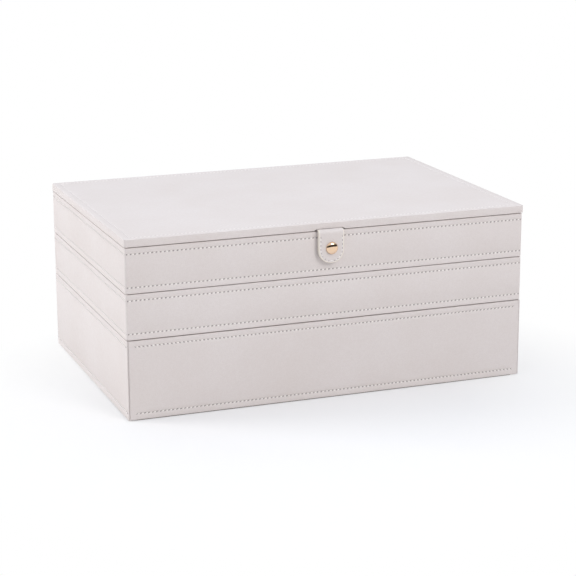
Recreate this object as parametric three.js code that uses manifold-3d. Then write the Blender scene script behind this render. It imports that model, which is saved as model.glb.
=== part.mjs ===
// A three-tier jewelry box covered in stitched leatherette: a drawer case, two stacking trays and a hinged lid.
// A leather tab on the lid snaps to the front of the top tray.
// Sizes are in millimetres and +Z is up. The origin is the middle of the base, on the surface the box stands on.
// The front faces -Y.
import * as THREE from "three";
import { mergeVertices } from "three/addons/utils/BufferGeometryUtils.js";
import Module from "manifold-3d";

const wasm = await Module();
wasm.setup();

// The whole box
const boxWidth = 340;
const boxDepth = 230;
const cornerRadius = 1.2;
const edgeRadius = 0.7;
const seamGap = 0.4;
const seatGap = 0.3;

// The case that holds the drawer
const caseHeight = 63.8;
const caseWall = 5;
const caseLip = 1.8;
const caseFloor = 3.2;
const deckThickness = 6;
const deckRecess = 3;
const deckRim = 12;
const padThickness = 0.8;
const padInset = 6;
const runnerThickness = 0.8;
const runnerWidth = 10;
const runnerInset = 24;

// The drawer
const frontThickness = 8;
const frontGap = 0.35;
const frontCorner = 1.2;
const drawerWall = 4;
const drawerFloor = 3;
const drawerSideGap = 0.6;
const drawerHeadroom = 1.2;
const drawerBackGap = 1.5;

// The two trays
const middleHeight = 36.9;
const topHeight = 36.6;
const trayWall = 5;
const trayFloor = 3;
const cavityCorner = 2;
const plugDepth = 2.5;
const plugGap = 0.5;

// Linings and dividers
const liningThickness = 1.6;
const liningDrop = 3.4;
const dividerThickness = 3.6;
const dividerDrop = 1;

// Ring rolls in the top tray
const rollCount = 8;
const rollGap = 0.6;
const rollHeight = 21;
const rollEndRadius = 2.5;

// The lid
const lidThickness = 6;
const lidOverhang = 1;
const lidCorner = 1.8;
const lidTopEdge = 1.3;
const panelThickness = 2.4;
const panelCorner = 3;
const mirrorWidth = 236;
const mirrorDepth = 148;
const mirrorThickness = 1.9;
const mirrorCorner = 5;

// The two hinges
const hingeLength = 38;
const hingeInset = 52;
const leafThickness = 0.8;
const leafMargin = 1.4;
const knuckleCount = 5;
const knuckleRadius = 2.2;
const knuckleGap = 0.3;
const pinRadius = 0.9;
const pinClearance = 0.28;
const pinHeadRadius = 1.5;
const pinHeadLength = 0.7;

// The closure tab, from its root under the lid's front edge
const tabWidth = 21.6;
const tabHang = 26;
const tabThickness = 2.8;
const tabStandOff = 2.4;
const tabOffset = -1.6;
const tabEdge = 0.9;
const tongueThickness = 0.9;
const tongueLength = 22;
const reliefGap = 0.3;
const reliefSlope = 2.4;

// The snap fastener
const snapDrop = 13.6;
const capRadius = 5;
const capHeight = 2.3;
const capBrim = 0.5;
const postRadius = 1.3;
const socketRadius = 4;
const socketBore = 2.4;
const socketDepth = 1.7;
const socketBase = 0.5;
const studFlangeRadius = 3.9;
const studNeckRadius = 1.5;
const studBulbRadius = 1.8;
const studFlangeShare = 0.35;
const studBulbShare = 0.8;
const shankRadius = 1.2;
const shankLength = 3;

// Where the dividers stand, as shares of the room between the lining's walls
const topLongShares = [0.64];
const topCrossShares = [0.42, 0.71];
const middleLongShares = [0.5];
const middleCrossShares = [0.25, 0.5, 0.75];
const drawerCrossShares = [0.34, 0.67];

// How far pieces that become one solid run into each other, and how far a cut runs past its face
const joinDepth = 0.8;
const cutOverrun = 2;
const weldDistance = 0.0005;

// Facets
const cornerSegments = 4;
const edgeSegments = 3;
const domeSegments = 8;
const roundSegments = 20;
const tabSegments = 16;
const turnedSegments = 32;

// Levels and outlines worked out from the sizes above
const caseZ = padThickness + seatGap;
const middleZ = caseZ + caseHeight + seamGap;
const topZ = middleZ + middleHeight + seamGap;
const lidZ = topZ + topHeight + seamGap;
const lidWidth = boxWidth + 2 * lidOverhang;
const lidDepth = boxDepth + 2 * lidOverhang;
const frontY = -boxDepth / 2;
const lidFrontY = -lidDepth / 2;
const hingeY = lidDepth / 2 + knuckleGap + knuckleRadius;
const hingeDrop = seamGap / 2;
const bayFront = frontY + frontThickness + frontGap;
const leafReach = trayWall - leafMargin;

const finishes = {
  leatherette: { color: 0xe2d9d6, roughness: 0.6, metalness: 0 },
  velvet: { color: 0xcdbdb6, roughness: 0.95, metalness: 0 },
  felt: { color: 0xb9aca6, roughness: 1, metalness: 0 },
  gold: { color: 0xe7bd7e, roughness: 0.16, metalness: 1 },
  mirror: { color: 0xdfe5e8, roughness: 0.03, metalness: 1 },
};

// A closed geometry as a solid that can be joined and cut.
function solid(geometry) {
  const bare = new THREE.BufferGeometry();
  bare.setAttribute("position", geometry.getAttribute("position"));
  bare.setIndex(geometry.index);
  const welded = mergeVertices(bare, weldDistance);
  return new wasm.Manifold(
    new wasm.Mesh({
      numProp: 3,
      vertProperties: welded.attributes.position.array,
      triVerts: new Uint32Array(welded.index.array),
    }),
  );
}

// A solid as a named mesh with a finish of its own.
function piece(name, shape, finish) {
  const { vertProperties, triVerts } = shape.getMesh();
  const geometry = new THREE.BufferGeometry();
  geometry.setAttribute("position", new THREE.BufferAttribute(vertProperties, 3));
  geometry.setIndex(new THREE.BufferAttribute(triVerts, 1));
  geometry.computeVertexNormals();
  const mesh = new THREE.Mesh(geometry, new THREE.MeshStandardMaterial(finish));
  mesh.name = name;
  return mesh;
}

function roundedRectangle(width, depth, corner) {
  const x = width / 2 - corner;
  const y = depth / 2 - corner;
  const shape = new THREE.Shape();
  shape.absarc(x, y, corner, 0, Math.PI / 2);
  shape.absarc(-x, y, corner, Math.PI / 2, Math.PI);
  shape.absarc(-x, -y, corner, Math.PI, 1.5 * Math.PI);
  shape.absarc(x, -y, corner, 1.5 * Math.PI, 2 * Math.PI);
  shape.closePath();
  return shape;
}

// An outline in XY, extruded up from z = 0 with its edges rounded at both ends.
function softExtrusion(shape, height, edge, curveSegments = cornerSegments) {
  const geometry = new THREE.ExtrudeGeometry(shape, {
    depth: height - 2 * edge,
    bevelEnabled: edge > 0,
    bevelThickness: edge,
    bevelSize: edge,
    bevelOffset: -edge,
    bevelSegments: edgeSegments,
    curveSegments,
  });
  return geometry.translate(0, 0, edge);
}

// A flat board that stands on z = 0, with rounded corners in plan and rounded top and bottom edges.
function board(width, depth, height, corner, edge) {
  return solid(softExtrusion(roundedRectangle(width, depth, corner), height, edge));
}

function block(x0, x1, y0, y1, z0, z1) {
  const geometry = new THREE.BoxGeometry(x1 - x0, y1 - y0, z1 - z0);
  geometry.translate((x0 + x1) / 2, (y0 + y1) / 2, (z0 + z1) / 2);
  return solid(geometry);
}

// A bar with a half-round top that runs along Y, centred on x = 0 and y = 0 and standing on z = 0.
function roundTopBar(width, height, length, endRadius) {
  const shape = new THREE.Shape();
  shape.moveTo(-width / 2, 0);
  shape.lineTo(width / 2, 0);
  shape.absarc(0, height - width / 2, width / 2, 0, Math.PI);
  shape.closePath();
  const geometry = softExtrusion(shape, length, endRadius);
  geometry.rotateX(Math.PI / 2);
  return solid(geometry.translate(0, length / 2, 0));
}

// A round bar along X.
function rod(radius, length) {
  const geometry = new THREE.CylinderGeometry(radius, radius, length, roundSegments);
  return solid(geometry.rotateZ(Math.PI / 2));
}

// A turned piece whose profile is given as [radius, distance forwards], pointing to -Y.
function turnedForward(profile) {
  const points = profile.map(([radius, forward]) => new THREE.Vector2(radius, forward));
  const geometry = new THREE.LatheGeometry(points, turnedSegments);
  return solid(geometry.rotateX(Math.PI));
}

// Open trays: a wall all round, a floor, and a plug below that drops into the rim of the tier underneath.
function trayShell(height, plugInset) {
  const walls = board(boxWidth, boxDepth, height, cornerRadius, edgeRadius);
  const cavity = board(
    boxWidth - 2 * trayWall,
    boxDepth - 2 * trayWall,
    height + cutOverrun,
    cavityCorner,
    0,
  ).translate([0, 0, trayFloor]);
  const plug = board(
    boxWidth - 2 * plugInset,
    boxDepth - 2 * plugInset,
    plugDepth + joinDepth,
    cavityCorner,
    0,
  ).translate([0, 0, -plugDepth]);
  return walls.subtract(cavity).add(plug);
}

// A velvet-covered liner that follows the inside of a tray, open at the top.
function lining(width, depth, height) {
  const outside = board(width, depth, height, cavityCorner, 0);
  const room = board(
    width - 2 * liningThickness,
    depth - 2 * liningThickness,
    height + cutOverrun,
    cavityCorner,
    0,
  ).translate([0, 0, liningThickness]);
  return outside.subtract(room);
}

// Dividers lapped into each other halfway up: the long ones are slotted from above, the cross ones from below.
// The room has its middle at x = 0, y = middleY, and its floor at z = 0.
function dividers(prefix, room, longShares, crossShares) {
  const height = room.height - dividerDrop;
  const lap = height / 2 + seatGap / 2;
  const slotWidth = dividerThickness + 2 * seatGap;
  const placeX = (share) => (share - 0.5) * room.width;
  const placeY = (share) => room.middleY + (share - 0.5) * room.depth;
  const group = new THREE.Group();
  longShares.forEach((share, i) => {
    const y = placeY(share);
    let long = roundTopBar(dividerThickness, height, room.width - 2 * seatGap, 0)
      .rotate([0, 0, 90])
      .translate([0, y, 0]);
    for (const cross of crossShares) {
      const x = placeX(cross);
      long = long.subtract(
        block(
          x - slotWidth / 2,
          x + slotWidth / 2,
          y - slotWidth,
          y + slotWidth,
          height - lap,
          height + cutOverrun,
        ),
      );
    }
    group.add(piece(`${prefix}_long_divider_${i + 1}`, long, finishes.velvet));
  });
  crossShares.forEach((share, i) => {
    const x = placeX(share);
    let cross = roundTopBar(dividerThickness, height, room.depth - 2 * seatGap, 0);
    cross = cross.translate([x, room.middleY, 0]);
    for (const long of longShares) {
      const y = placeY(long);
      cross = cross.subtract(
        block(
          x - slotWidth,
          x + slotWidth,
          y - slotWidth / 2,
          y + slotWidth / 2,
          -cutOverrun,
          lap,
        ),
      );
    }
    group.add(piece(`${prefix}_cross_divider_${i + 1}`, cross, finishes.velvet));
  });
  group.position.z = room.floorZ;
  return group;
}

// Everything inside a tray: its lining and its dividers. The cavity's floor is at z = floorZ.
function fitOut(prefix, width, depth, middleY, floorZ, depthToRim, longShares, crossShares) {
  const group = new THREE.Group();
  const height = depthToRim - liningDrop - seatGap;
  const liner = lining(width - 2 * seatGap, depth - 2 * seatGap, height);
  const linerMesh = piece(`${prefix}_lining`, liner, finishes.velvet);
  linerMesh.position.set(0, middleY, floorZ + seatGap);
  group.add(linerMesh);
  const room = {
    width: width - 2 * (seatGap + liningThickness),
    depth: depth - 2 * (seatGap + liningThickness),
    middleY,
    floorZ: floorZ + liningThickness + 2 * seatGap,
    height: height - liningThickness - seatGap,
  };
  group.add(dividers(prefix, room, longShares, crossShares));
  return { group, room };
}

// The case: a carcass open at the front and the top, with thin lips that frame the drawer front.
function buildCase() {
  const group = new THREE.Group();
  group.position.z = caseZ;
  const halfWidth = boxWidth / 2;
  const halfDepth = boxDepth / 2;
  const outside = board(boxWidth, boxDepth, caseHeight, cornerRadius, edgeRadius);
  const bay = block(
    -halfWidth + caseWall,
    halfWidth - caseWall,
    -halfDepth - cutOverrun,
    halfDepth - caseWall,
    caseFloor,
    caseHeight + cutOverrun,
  );
  const frontRebate = block(
    -halfWidth + caseLip,
    halfWidth - caseLip,
    -halfDepth - cutOverrun,
    bayFront,
    -cutOverrun,
    caseHeight + cutOverrun,
  );
  const carcass = outside.subtract(bay).subtract(frontRebate);
  group.add(piece("case_carcass", carcass, finishes.leatherette));

  // The deck closes the bay, and its recess locates the middle tray.
  const deckBack = halfDepth - caseWall - seatGap;
  const deckHalf = halfWidth - caseWall - seatGap;
  const deck = block(
    -deckHalf,
    deckHalf,
    bayFront,
    deckBack,
    caseHeight - deckThickness,
    caseHeight,
  ).subtract(
    board(
      boxWidth - 2 * deckRim,
      boxDepth - 2 * deckRim,
      deckRecess + cutOverrun,
      cavityCorner,
      0,
    ).translate([0, 0, caseHeight - deckRecess]),
  );
  group.add(piece("case_deck", deck, finishes.leatherette));

  const pad = board(
    boxWidth - 2 * padInset,
    boxDepth - 2 * padInset,
    padThickness,
    cornerRadius,
    0,
  );
  const padMesh = piece("base_pad", pad, finishes.felt);
  padMesh.position.z = -caseZ;
  group.add(padMesh);

  for (const [side, name] of [
    [-1, "left"],
    [1, "right"],
  ]) {
    const runner = block(
      -runnerWidth / 2,
      runnerWidth / 2,
      bayFront + seatGap,
      halfDepth - caseWall - seatGap,
      0,
      runnerThickness,
    );
    const mesh = piece(`drawer_runner_${name}`, runner, finishes.felt);
    mesh.position.set(side * (halfWidth - runnerInset), 0, caseFloor + seatGap);
    group.add(mesh);
  }
  return group;
}

// The drawer: a full-height covered front, and a tray behind it that runs on the two felt strips.
function buildDrawer() {
  const group = new THREE.Group();
  group.position.z = caseZ;
  const frontWidth = boxWidth - 2 * (caseLip + frontGap);
  const frontShape = roundedRectangle(frontWidth, caseHeight, frontCorner);
  const front = softExtrusion(frontShape, frontThickness, edgeRadius);
  front.rotateX(Math.PI / 2);
  front.translate(0, frontY + frontThickness, caseHeight / 2);
  group.add(piece("drawer_front", solid(front), finishes.leatherette));

  const trayZ = caseFloor + runnerThickness + 2 * seatGap;
  const trayHeight = caseHeight - deckThickness - drawerHeadroom - trayZ;
  const trayFront = frontY + frontThickness + seatGap;
  const trayBack = boxDepth / 2 - caseWall - drawerBackGap;
  const width = boxWidth - 2 * (caseWall + drawerSideGap);
  const depth = trayBack - trayFront;
  const middleY = (trayFront + trayBack) / 2;
  const cavityWidth = width - 2 * drawerWall;
  const cavityDepth = depth - 2 * drawerWall;
  const tray = board(width, depth, trayHeight, cavityCorner, edgeRadius)
    .subtract(
      board(cavityWidth, cavityDepth, trayHeight + cutOverrun, cavityCorner, 0).translate([
        0,
        0,
        drawerFloor,
      ]),
    )
    .translate([0, middleY, trayZ]);
  group.add(piece("drawer_tray", tray, finishes.leatherette));
  const inside = fitOut(
    "drawer",
    cavityWidth,
    cavityDepth,
    middleY,
    trayZ + drawerFloor,
    trayHeight - drawerFloor,
    [],
    drawerCrossShares,
  );
  group.add(inside.group);
  return group;
}

function buildMiddleTray() {
  const group = new THREE.Group();
  group.position.z = middleZ;
  group.add(piece("middle_tray", trayShell(middleHeight, deckRim + plugGap), finishes.leatherette));
  const inside = fitOut(
    "middle",
    boxWidth - 2 * trayWall,
    boxDepth - 2 * trayWall,
    0,
    trayFloor,
    middleHeight - trayFloor,
    middleLongShares,
    middleCrossShares,
  );
  group.add(inside.group);
  return group;
}

// A row of ring rolls that fills the front left compartment.
function ringRolls(room) {
  const group = new THREE.Group();
  const left = -room.width / 2 + seatGap;
  const right = (topCrossShares[0] - 0.5) * room.width - dividerThickness / 2 - seatGap;
  const front = room.middleY - room.depth / 2 + seatGap;
  const back =
    room.middleY + (topLongShares[0] - 0.5) * room.depth - dividerThickness / 2 - seatGap;
  const pitch = (back - front + rollGap) / rollCount;
  for (let i = 0; i < rollCount; i += 1) {
    const roll = roundTopBar(pitch - rollGap, rollHeight, right - left, rollEndRadius);
    const mesh = piece(`ring_roll_${i + 1}`, roll.rotate([0, 0, 90]), finishes.velvet);
    mesh.position.set((left + right) / 2, front + (i + 0.5) * pitch - rollGap / 2, room.floorZ);
    group.add(mesh);
  }
  return group;
}

// The hollow in the lid or the rim that one hinge leaf lies in, seen from the hinge's middle.
function leafPocket(z0, z1) {
  return block(
    -hingeLength / 2 - seatGap,
    hingeLength / 2 + seatGap,
    -knuckleRadius - knuckleGap - lidOverhang - leafReach - seatGap,
    cutOverrun,
    z0,
    z1,
  );
}

// The knuckles are numbered along X. The even ones belong to the tray's leaf and the odd ones to the lid's.
function hingeLeaf(remainder, plateZ0, plateZ1) {
  const pitch = hingeLength / knuckleCount;
  const plateBack = -knuckleRadius - knuckleGap;
  let leaf = block(
    -hingeLength / 2,
    hingeLength / 2,
    plateBack - lidOverhang - leafReach,
    plateBack,
    plateZ0,
    plateZ1,
  );
  for (let i = remainder; i < knuckleCount; i += 2) {
    const x = (i + 0.5) * pitch - hingeLength / 2;
    const length = pitch - knuckleGap;
    const web = block(
      x - length / 2,
      x + length / 2,
      plateBack - joinDepth,
      -pinRadius - pinClearance,
      plateZ0,
      plateZ1,
    );
    leaf = leaf.add(web).add(rod(knuckleRadius, length).translate([x, 0, 0]));
  }
  return leaf.subtract(rod(pinRadius + pinClearance, hingeLength + cutOverrun));
}

// A pin with a flat head at each end, outside the last knuckles.
function hingePin() {
  const headX = hingeLength / 2 + pinHeadLength / 2;
  const head = rod(pinHeadRadius, pinHeadLength);
  return rod(pinRadius, hingeLength + pinHeadLength)
    .add(head.translate([headX, 0, 0]))
    .add(head.translate([-headX, 0, 0]));
}

function hingePlaces() {
  const x = boxWidth / 2 - hingeInset - hingeLength / 2;
  return [
    [-x, "left"],
    [x, "right"],
  ];
}

// The stud of the snap: a flange on the tray's front, a bulb that faces the socket, and a shank in the wall.
function snapStud() {
  const height = tabStandOff - 2 * seatGap;
  const flange = height * studFlangeShare;
  return turnedForward([
    [0, -shankLength],
    [shankRadius, -shankLength],
    [shankRadius, 0],
    [studFlangeRadius, 0],
    [studFlangeRadius, flange],
    [studNeckRadius, flange],
    [studBulbRadius, height * studBulbShare],
    [studNeckRadius, height],
    [0, height],
  ]);
}

function buildTopTray() {
  const group = new THREE.Group();
  group.position.z = topZ;
  const shankHole = turnedForward([
    [0, -shankLength - seatGap],
    [shankRadius + seatGap, -shankLength - seatGap],
    [shankRadius + seatGap, cutOverrun],
    [0, cutOverrun],
  ]).translate([tabOffset, frontY, topHeight + seamGap - snapDrop]);
  let shell = trayShell(topHeight, trayWall + plugGap).subtract(shankHole);
  for (const [x] of hingePlaces()) {
    const pocket = leafPocket(
      -hingeDrop - leafThickness - seatGap,
      cutOverrun,
    ).translate([x, hingeY, topHeight + hingeDrop]);
    shell = shell.subtract(pocket);
  }
  group.add(piece("top_tray", shell, finishes.leatherette));

  const inside = fitOut(
    "top",
    boxWidth - 2 * trayWall,
    boxDepth - 2 * trayWall,
    0,
    trayFloor,
    topHeight - trayFloor,
    topLongShares,
    topCrossShares,
  );
  group.add(inside.group, ringRolls(inside.room));

  const stud = piece("snap_stud", snapStud(), finishes.gold);
  stud.position.set(tabOffset, frontY - seatGap, topHeight + seamGap - snapDrop);
  group.add(stud);

  for (const [x, name] of hingePlaces()) {
    const leaf = hingeLeaf(0, -hingeDrop - leafThickness, -hingeDrop);
    const pin = hingePin();
    for (const [part, shape] of [
      ["tray_hinge_leaf", leaf],
      ["hinge_pin", pin],
    ]) {
      const mesh = piece(`${part}_${name}`, shape, finishes.gold);
      mesh.position.set(x, hingeY, topHeight + hingeDrop);
      group.add(mesh);
    }
  }
  return group;
}

// The hollow in the lid's underside that the tab's tongue lies in. Its ends slope, as the soft cover does there.
function tongueRelief() {
  const depth = tongueThickness + seatGap + reliefGap;
  const half = tabWidth / 2 + reliefGap;
  const shape = new THREE.Shape();
  shape.moveTo(-half - reliefSlope, -cutOverrun);
  shape.lineTo(half + reliefSlope, -cutOverrun);
  shape.lineTo(half + reliefSlope, 0);
  shape.lineTo(half, depth);
  shape.lineTo(-half, depth);
  shape.lineTo(-half - reliefSlope, 0);
  shape.closePath();
  const reach = tongueLength + seatGap + cutOverrun;
  const geometry = softExtrusion(shape, reach, 0);
  geometry.rotateX(Math.PI / 2);
  return solid(geometry).translate([tabOffset, lidFrontY - cutOverrun + reach, 0]);
}

function buildLid() {
  const group = new THREE.Group();
  group.position.z = lidZ;
  const raised = board(lidWidth, lidDepth, 2 * lidThickness, lidCorner, lidTopEdge);
  const lowered = board(lidWidth, lidDepth, 2 * lidThickness, lidCorner, edgeRadius);
  let cover = raised.translate([0, 0, -lidThickness]).intersect(lowered).subtract(tongueRelief());
  for (const [x] of hingePlaces()) {
    const pocket = leafPocket(-cutOverrun, hingeDrop + leafThickness + seatGap);
    cover = cover.subtract(pocket.translate([x, hingeY, -hingeDrop]));
  }
  group.add(piece("lid_board", cover, finishes.leatherette));

  const panelWidth = boxWidth - 2 * (trayWall + plugGap);
  const panelDepth = boxDepth - 2 * (trayWall + plugGap);
  const window = board(
    mirrorWidth + 2 * seatGap,
    mirrorDepth + 2 * seatGap,
    panelThickness + 2 * cutOverrun,
    mirrorCorner,
    0,
  ).translate([0, 0, -cutOverrun]);
  const panel = board(panelWidth, panelDepth, panelThickness, panelCorner, 0).subtract(window);
  const panelMesh = piece("lid_panel", panel, finishes.velvet);
  panelMesh.position.z = -seatGap - panelThickness;
  const mirror = board(mirrorWidth, mirrorDepth, mirrorThickness, mirrorCorner, 0);
  const mirrorMesh = piece("lid_mirror", mirror, finishes.mirror);
  mirrorMesh.position.z = -seatGap - mirrorThickness;
  group.add(panelMesh, mirrorMesh);

  for (const [x, name] of hingePlaces()) {
    const leaf = hingeLeaf(1, hingeDrop, hingeDrop + leafThickness);
    const mesh = piece(`lid_hinge_leaf_${name}`, leaf, finishes.gold);
    mesh.position.set(x, hingeY, -hingeDrop);
    group.add(mesh);
  }

  const tongue = block(
    tabOffset - tabWidth / 2,
    tabOffset + tabWidth / 2,
    lidFrontY + seatGap,
    lidFrontY + tongueLength,
    seatGap,
    seatGap + tongueThickness,
  );
  group.add(piece("tab_tongue", tongue, finishes.leatherette));
  group.add(buildTab());
  return group;
}

// The tab leaves the lid level, bends down and hangs clear of the tray's front. Seen from the side, its bend
// starts at y = 0, z = 0, and the profile is swept across its width.
function tabSide(hang, back, front) {
  const shape = new THREE.Shape();
  shape.absarc(0, -front, front, Math.PI / 2, Math.PI);
  shape.lineTo(-front, -hang);
  shape.lineTo(-back, -hang);
  shape.absarc(0, -tongueThickness - back, back, Math.PI, Math.PI / 2, true);
  shape.closePath();
  const sweep = tabWidth + 2 * cutOverrun;
  const geometry = softExtrusion(shape, sweep, 0);
  geometry.translate(0, 0, -sweep / 2);
  geometry.rotateX(Math.PI / 2);
  return solid(geometry.rotateZ(Math.PI / 2));
}

// The tab seen from the front: straight sides and a half-round end, with its front edge rounded over.
function tabFace(hang, front) {
  const half = tabWidth / 2;
  const shape = new THREE.Shape();
  shape.absarc(0, half - hang, half, Math.PI, 2 * Math.PI);
  shape.lineTo(half, cutOverrun);
  shape.lineTo(-half, cutOverrun);
  shape.closePath();
  const reach = front + cutOverrun;
  const geometry = softExtrusion(shape, reach, tabEdge, tabSegments);
  geometry.rotateX(Math.PI / 2);
  return solid(geometry.translate(0, reach - front, 0));
}

// The domed cap of the snap, with the post that goes back through the tab.
function snapCap() {
  const postEnd = socketDepth - tabThickness;
  const profile = [
    [0, postEnd],
    [postRadius, postEnd],
    [postRadius, 0],
    [capRadius, 0],
  ];
  for (let i = 0; i < domeSegments; i += 1) {
    const angle = (i / domeSegments) * (Math.PI / 2);
    const rise = (capHeight - capBrim) * Math.sin(angle);
    profile.push([capRadius * Math.cos(angle), capBrim + rise]);
  }
  profile.push([0, capHeight]);
  return turnedForward(profile);
}

// The socket of the snap: a cup let into the back of the tab, open towards the stud.
function snapSocket() {
  const bottom = socketDepth - socketBase;
  return turnedForward([
    [0, bottom],
    [socketBore, bottom],
    [socketBore, 0],
    [socketRadius, 0],
    [socketRadius, socketDepth],
    [0, socketDepth],
  ]);
}

// The room for the snap in the tab: a pocket for the socket and a hole for the post.
function snapRoom() {
  const pocketDepth = socketDepth + seatGap;
  const far = tabThickness + cutOverrun;
  return turnedForward([
    [0, -cutOverrun],
    [socketRadius + seatGap, -cutOverrun],
    [socketRadius + seatGap, pocketDepth],
    [postRadius + seatGap, pocketDepth],
    [postRadius + seatGap, far],
    [0, far],
  ]);
}

// The group's origin is the line that the tab bends about, at the lid's front face.
function buildTab() {
  const group = new THREE.Group();
  const bendZ = seatGap + tongueThickness;
  group.position.set(tabOffset, lidFrontY, bendZ);
  const hang = tabHang + bendZ;
  const back = lidFrontY - frontY + tabStandOff;
  const front = back + tabThickness;
  const snapZ = -snapDrop - bendZ;
  const flap = tabSide(hang, back, front)
    .intersect(tabFace(hang, front))
    .subtract(snapRoom().translate([0, -back, snapZ]));
  group.add(piece("closure_tab", flap, finishes.leatherette));

  const cap = piece("snap_cap", snapCap(), finishes.gold);
  cap.position.set(0, -front - seatGap, snapZ);
  const socket = piece("snap_socket", snapSocket(), finishes.gold);
  socket.position.set(0, -back, snapZ);
  group.add(cap, socket);
  return group;
}

const box = new THREE.Group();
box.add(buildCase(), buildDrawer(), buildMiddleTray(), buildTopTray(), buildLid());

export default box;
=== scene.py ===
"""The looks of a three-tier jewelry box covered in stitched leatherette, built around its frame.

New pieces are modelled in millimetres and written out in metres, in the frame's own axes: +Z is
up, the front faces -Y, and the origin is the middle of the base.
"""

import logging
import math
import random
from dataclasses import dataclass, field
from enum import Enum
from typing import Callable, Iterable, Iterator, Optional, Union

import bmesh
import bpy
from mathutils import Matrix, Vector
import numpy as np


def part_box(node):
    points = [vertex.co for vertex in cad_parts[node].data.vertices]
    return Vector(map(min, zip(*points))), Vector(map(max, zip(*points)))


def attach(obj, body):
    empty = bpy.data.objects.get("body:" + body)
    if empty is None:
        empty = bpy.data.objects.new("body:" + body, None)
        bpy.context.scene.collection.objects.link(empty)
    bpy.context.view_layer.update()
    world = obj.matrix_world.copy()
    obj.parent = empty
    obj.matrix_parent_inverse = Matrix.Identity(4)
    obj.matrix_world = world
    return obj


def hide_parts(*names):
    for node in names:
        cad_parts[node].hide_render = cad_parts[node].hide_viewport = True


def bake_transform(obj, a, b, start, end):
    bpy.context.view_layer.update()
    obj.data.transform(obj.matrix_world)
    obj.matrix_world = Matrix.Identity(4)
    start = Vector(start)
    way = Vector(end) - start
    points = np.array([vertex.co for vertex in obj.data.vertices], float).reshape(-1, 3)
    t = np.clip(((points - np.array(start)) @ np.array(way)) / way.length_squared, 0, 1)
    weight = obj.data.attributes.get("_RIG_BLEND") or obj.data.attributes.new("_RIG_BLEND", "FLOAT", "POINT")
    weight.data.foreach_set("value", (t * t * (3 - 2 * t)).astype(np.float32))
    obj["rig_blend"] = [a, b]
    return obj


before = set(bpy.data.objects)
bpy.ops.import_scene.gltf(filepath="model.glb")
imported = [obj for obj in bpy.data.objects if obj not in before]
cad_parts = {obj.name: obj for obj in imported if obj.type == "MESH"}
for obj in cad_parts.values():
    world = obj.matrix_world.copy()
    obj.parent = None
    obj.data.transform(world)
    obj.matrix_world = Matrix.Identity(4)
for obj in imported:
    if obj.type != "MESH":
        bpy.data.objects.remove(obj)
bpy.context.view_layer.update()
LOG = logging.getLogger("jewelry_box")

BMesh = bmesh.types.BMesh
BMVert = bmesh.types.BMVert
Colour = tuple[float, float, float, float]
Node = bpy.types.Node
Place = tuple[float, float, float]
Profile = tuple[tuple[float, float], ...]
Socket = bpy.types.NodeSocket
Tree = bpy.types.NodeTree
Value = Union[float, Colour, Place, str, Socket]

MM = 0.001
QUARTER_TURN = math.pi / 2
UP = Vector((0, 0, 1))
FORWARD = Vector((0, -1, 0))
# The vertex weight of the painted shade in the needle holes.
NEEDLE = "needle"
# Millimetres: between seated pieces, between tiers, and how far a floor runs into its wall.
SEAT_GAP = 0.3
TIER_GAP = 0.4
FLOOR_TUCK = 0.5


# Frame and mesh tools


@dataclass(frozen=True)
class Box:
    """A box in millimetres, given by its lowest and highest corners."""

    low: Vector
    high: Vector

    @property
    def size(self) -> Vector:
        """Its length along each axis."""
        return self.high - self.low

    @property
    def middle(self) -> Vector:
        """Its centre."""
        return (self.low + self.high) / 2

    def grown(self, low: Place, high: Place) -> "Box":
        """The box with each corner moved by the given millimetres."""
        return Box(self.low + Vector(low), self.high + Vector(high))

    def bottom(self, inset: float, height: float) -> "Box":
        """The lowest part of the box, of the given height and set in all round."""
        return self.grown((inset, inset, 0), (-inset, -inset, height - self.size.z))


def node_box(node: str) -> Box:
    """The place of a CAD node at rest, in millimetres."""
    low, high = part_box(node)
    return Box(low / MM, high / MM)


def quarter_steps(count: int) -> list[float]:
    """The angles from 0 to a quarter turn in equal steps, both ends included."""
    return [QUARTER_TURN * k / count for k in range(count + 1)]


def bent_grid(
    columns: int,
    rows: int,
    place: Callable[[int, int], Vector],
    around: bool = True,
    closed_rows: bool = True,
) -> tuple[BMesh, dict[tuple[int, int], BMVert]]:
    """Bends a flat grid into a ring, tube or strip.

    Args:
        columns: How many columns of points there are.
        rows: How many rows of points there are.
        place: Gives the place of the point in a column and row.
        around: Whether the last column joins the first one.
        closed_rows: Whether the last row joins the first one.

    Returns:
        The mesh, and its points by column and row.
    """
    across = columns if around else columns - 1
    up = rows if closed_rows else rows - 1
    bm = bmesh.new()
    bm.verts.layers.float.new(NEEDLE)
    bmesh.ops.create_grid(bm, x_segments=across, y_segments=up, size=1.0)
    points: dict[tuple[int, int], BMVert] = {}
    doubles: list[tuple[BMVert, tuple[int, int]]] = []
    for vert in bm.verts:
        i = round((vert.co.x + 1) / 2 * across)
        j = round((vert.co.y + 1) / 2 * up)
        key = (i % columns, j % rows)
        vert.co = place(*key)
        if key == (i, j):
            points[key] = vert
        else:
            doubles.append((vert, key))
    bmesh.ops.weld_verts(bm, targetmap={vert: points[key] for vert, key in doubles})
    return bm, points


def close_holes(bm: BMesh) -> None:
    """Fills each open rim with one face and turns all faces outwards.

    Args:
        bm: The mesh.
    """
    rims = [edge for edge in bm.edges if edge.is_boundary]
    bmesh.ops.holes_fill(bm, edges=rims, sides=0)
    bmesh.ops.recalc_face_normals(bm, faces=bm.faces)


def round_edges(bm: BMesh, edges: list[bmesh.types.BMEdge], radius: float, steps: int) -> None:
    """Rounds some edges of a mesh.

    Args:
        bm: The mesh.
        edges: The edges.
        radius: Their new radius.
        steps: Faces across each one.
    """
    bmesh.ops.bevel(
        bm, geom=edges, offset=radius, offset_type="OFFSET", segments=steps, profile=0.5,
        affect="EDGES", clamp_overlap=True, material=-1,
    )


def is_upright(edge: bmesh.types.BMEdge) -> bool:
    """Whether an edge runs along Z."""
    run = edge.verts[1].co - edge.verts[0].co
    return abs(run.z) > 0.5 * run.length


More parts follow.
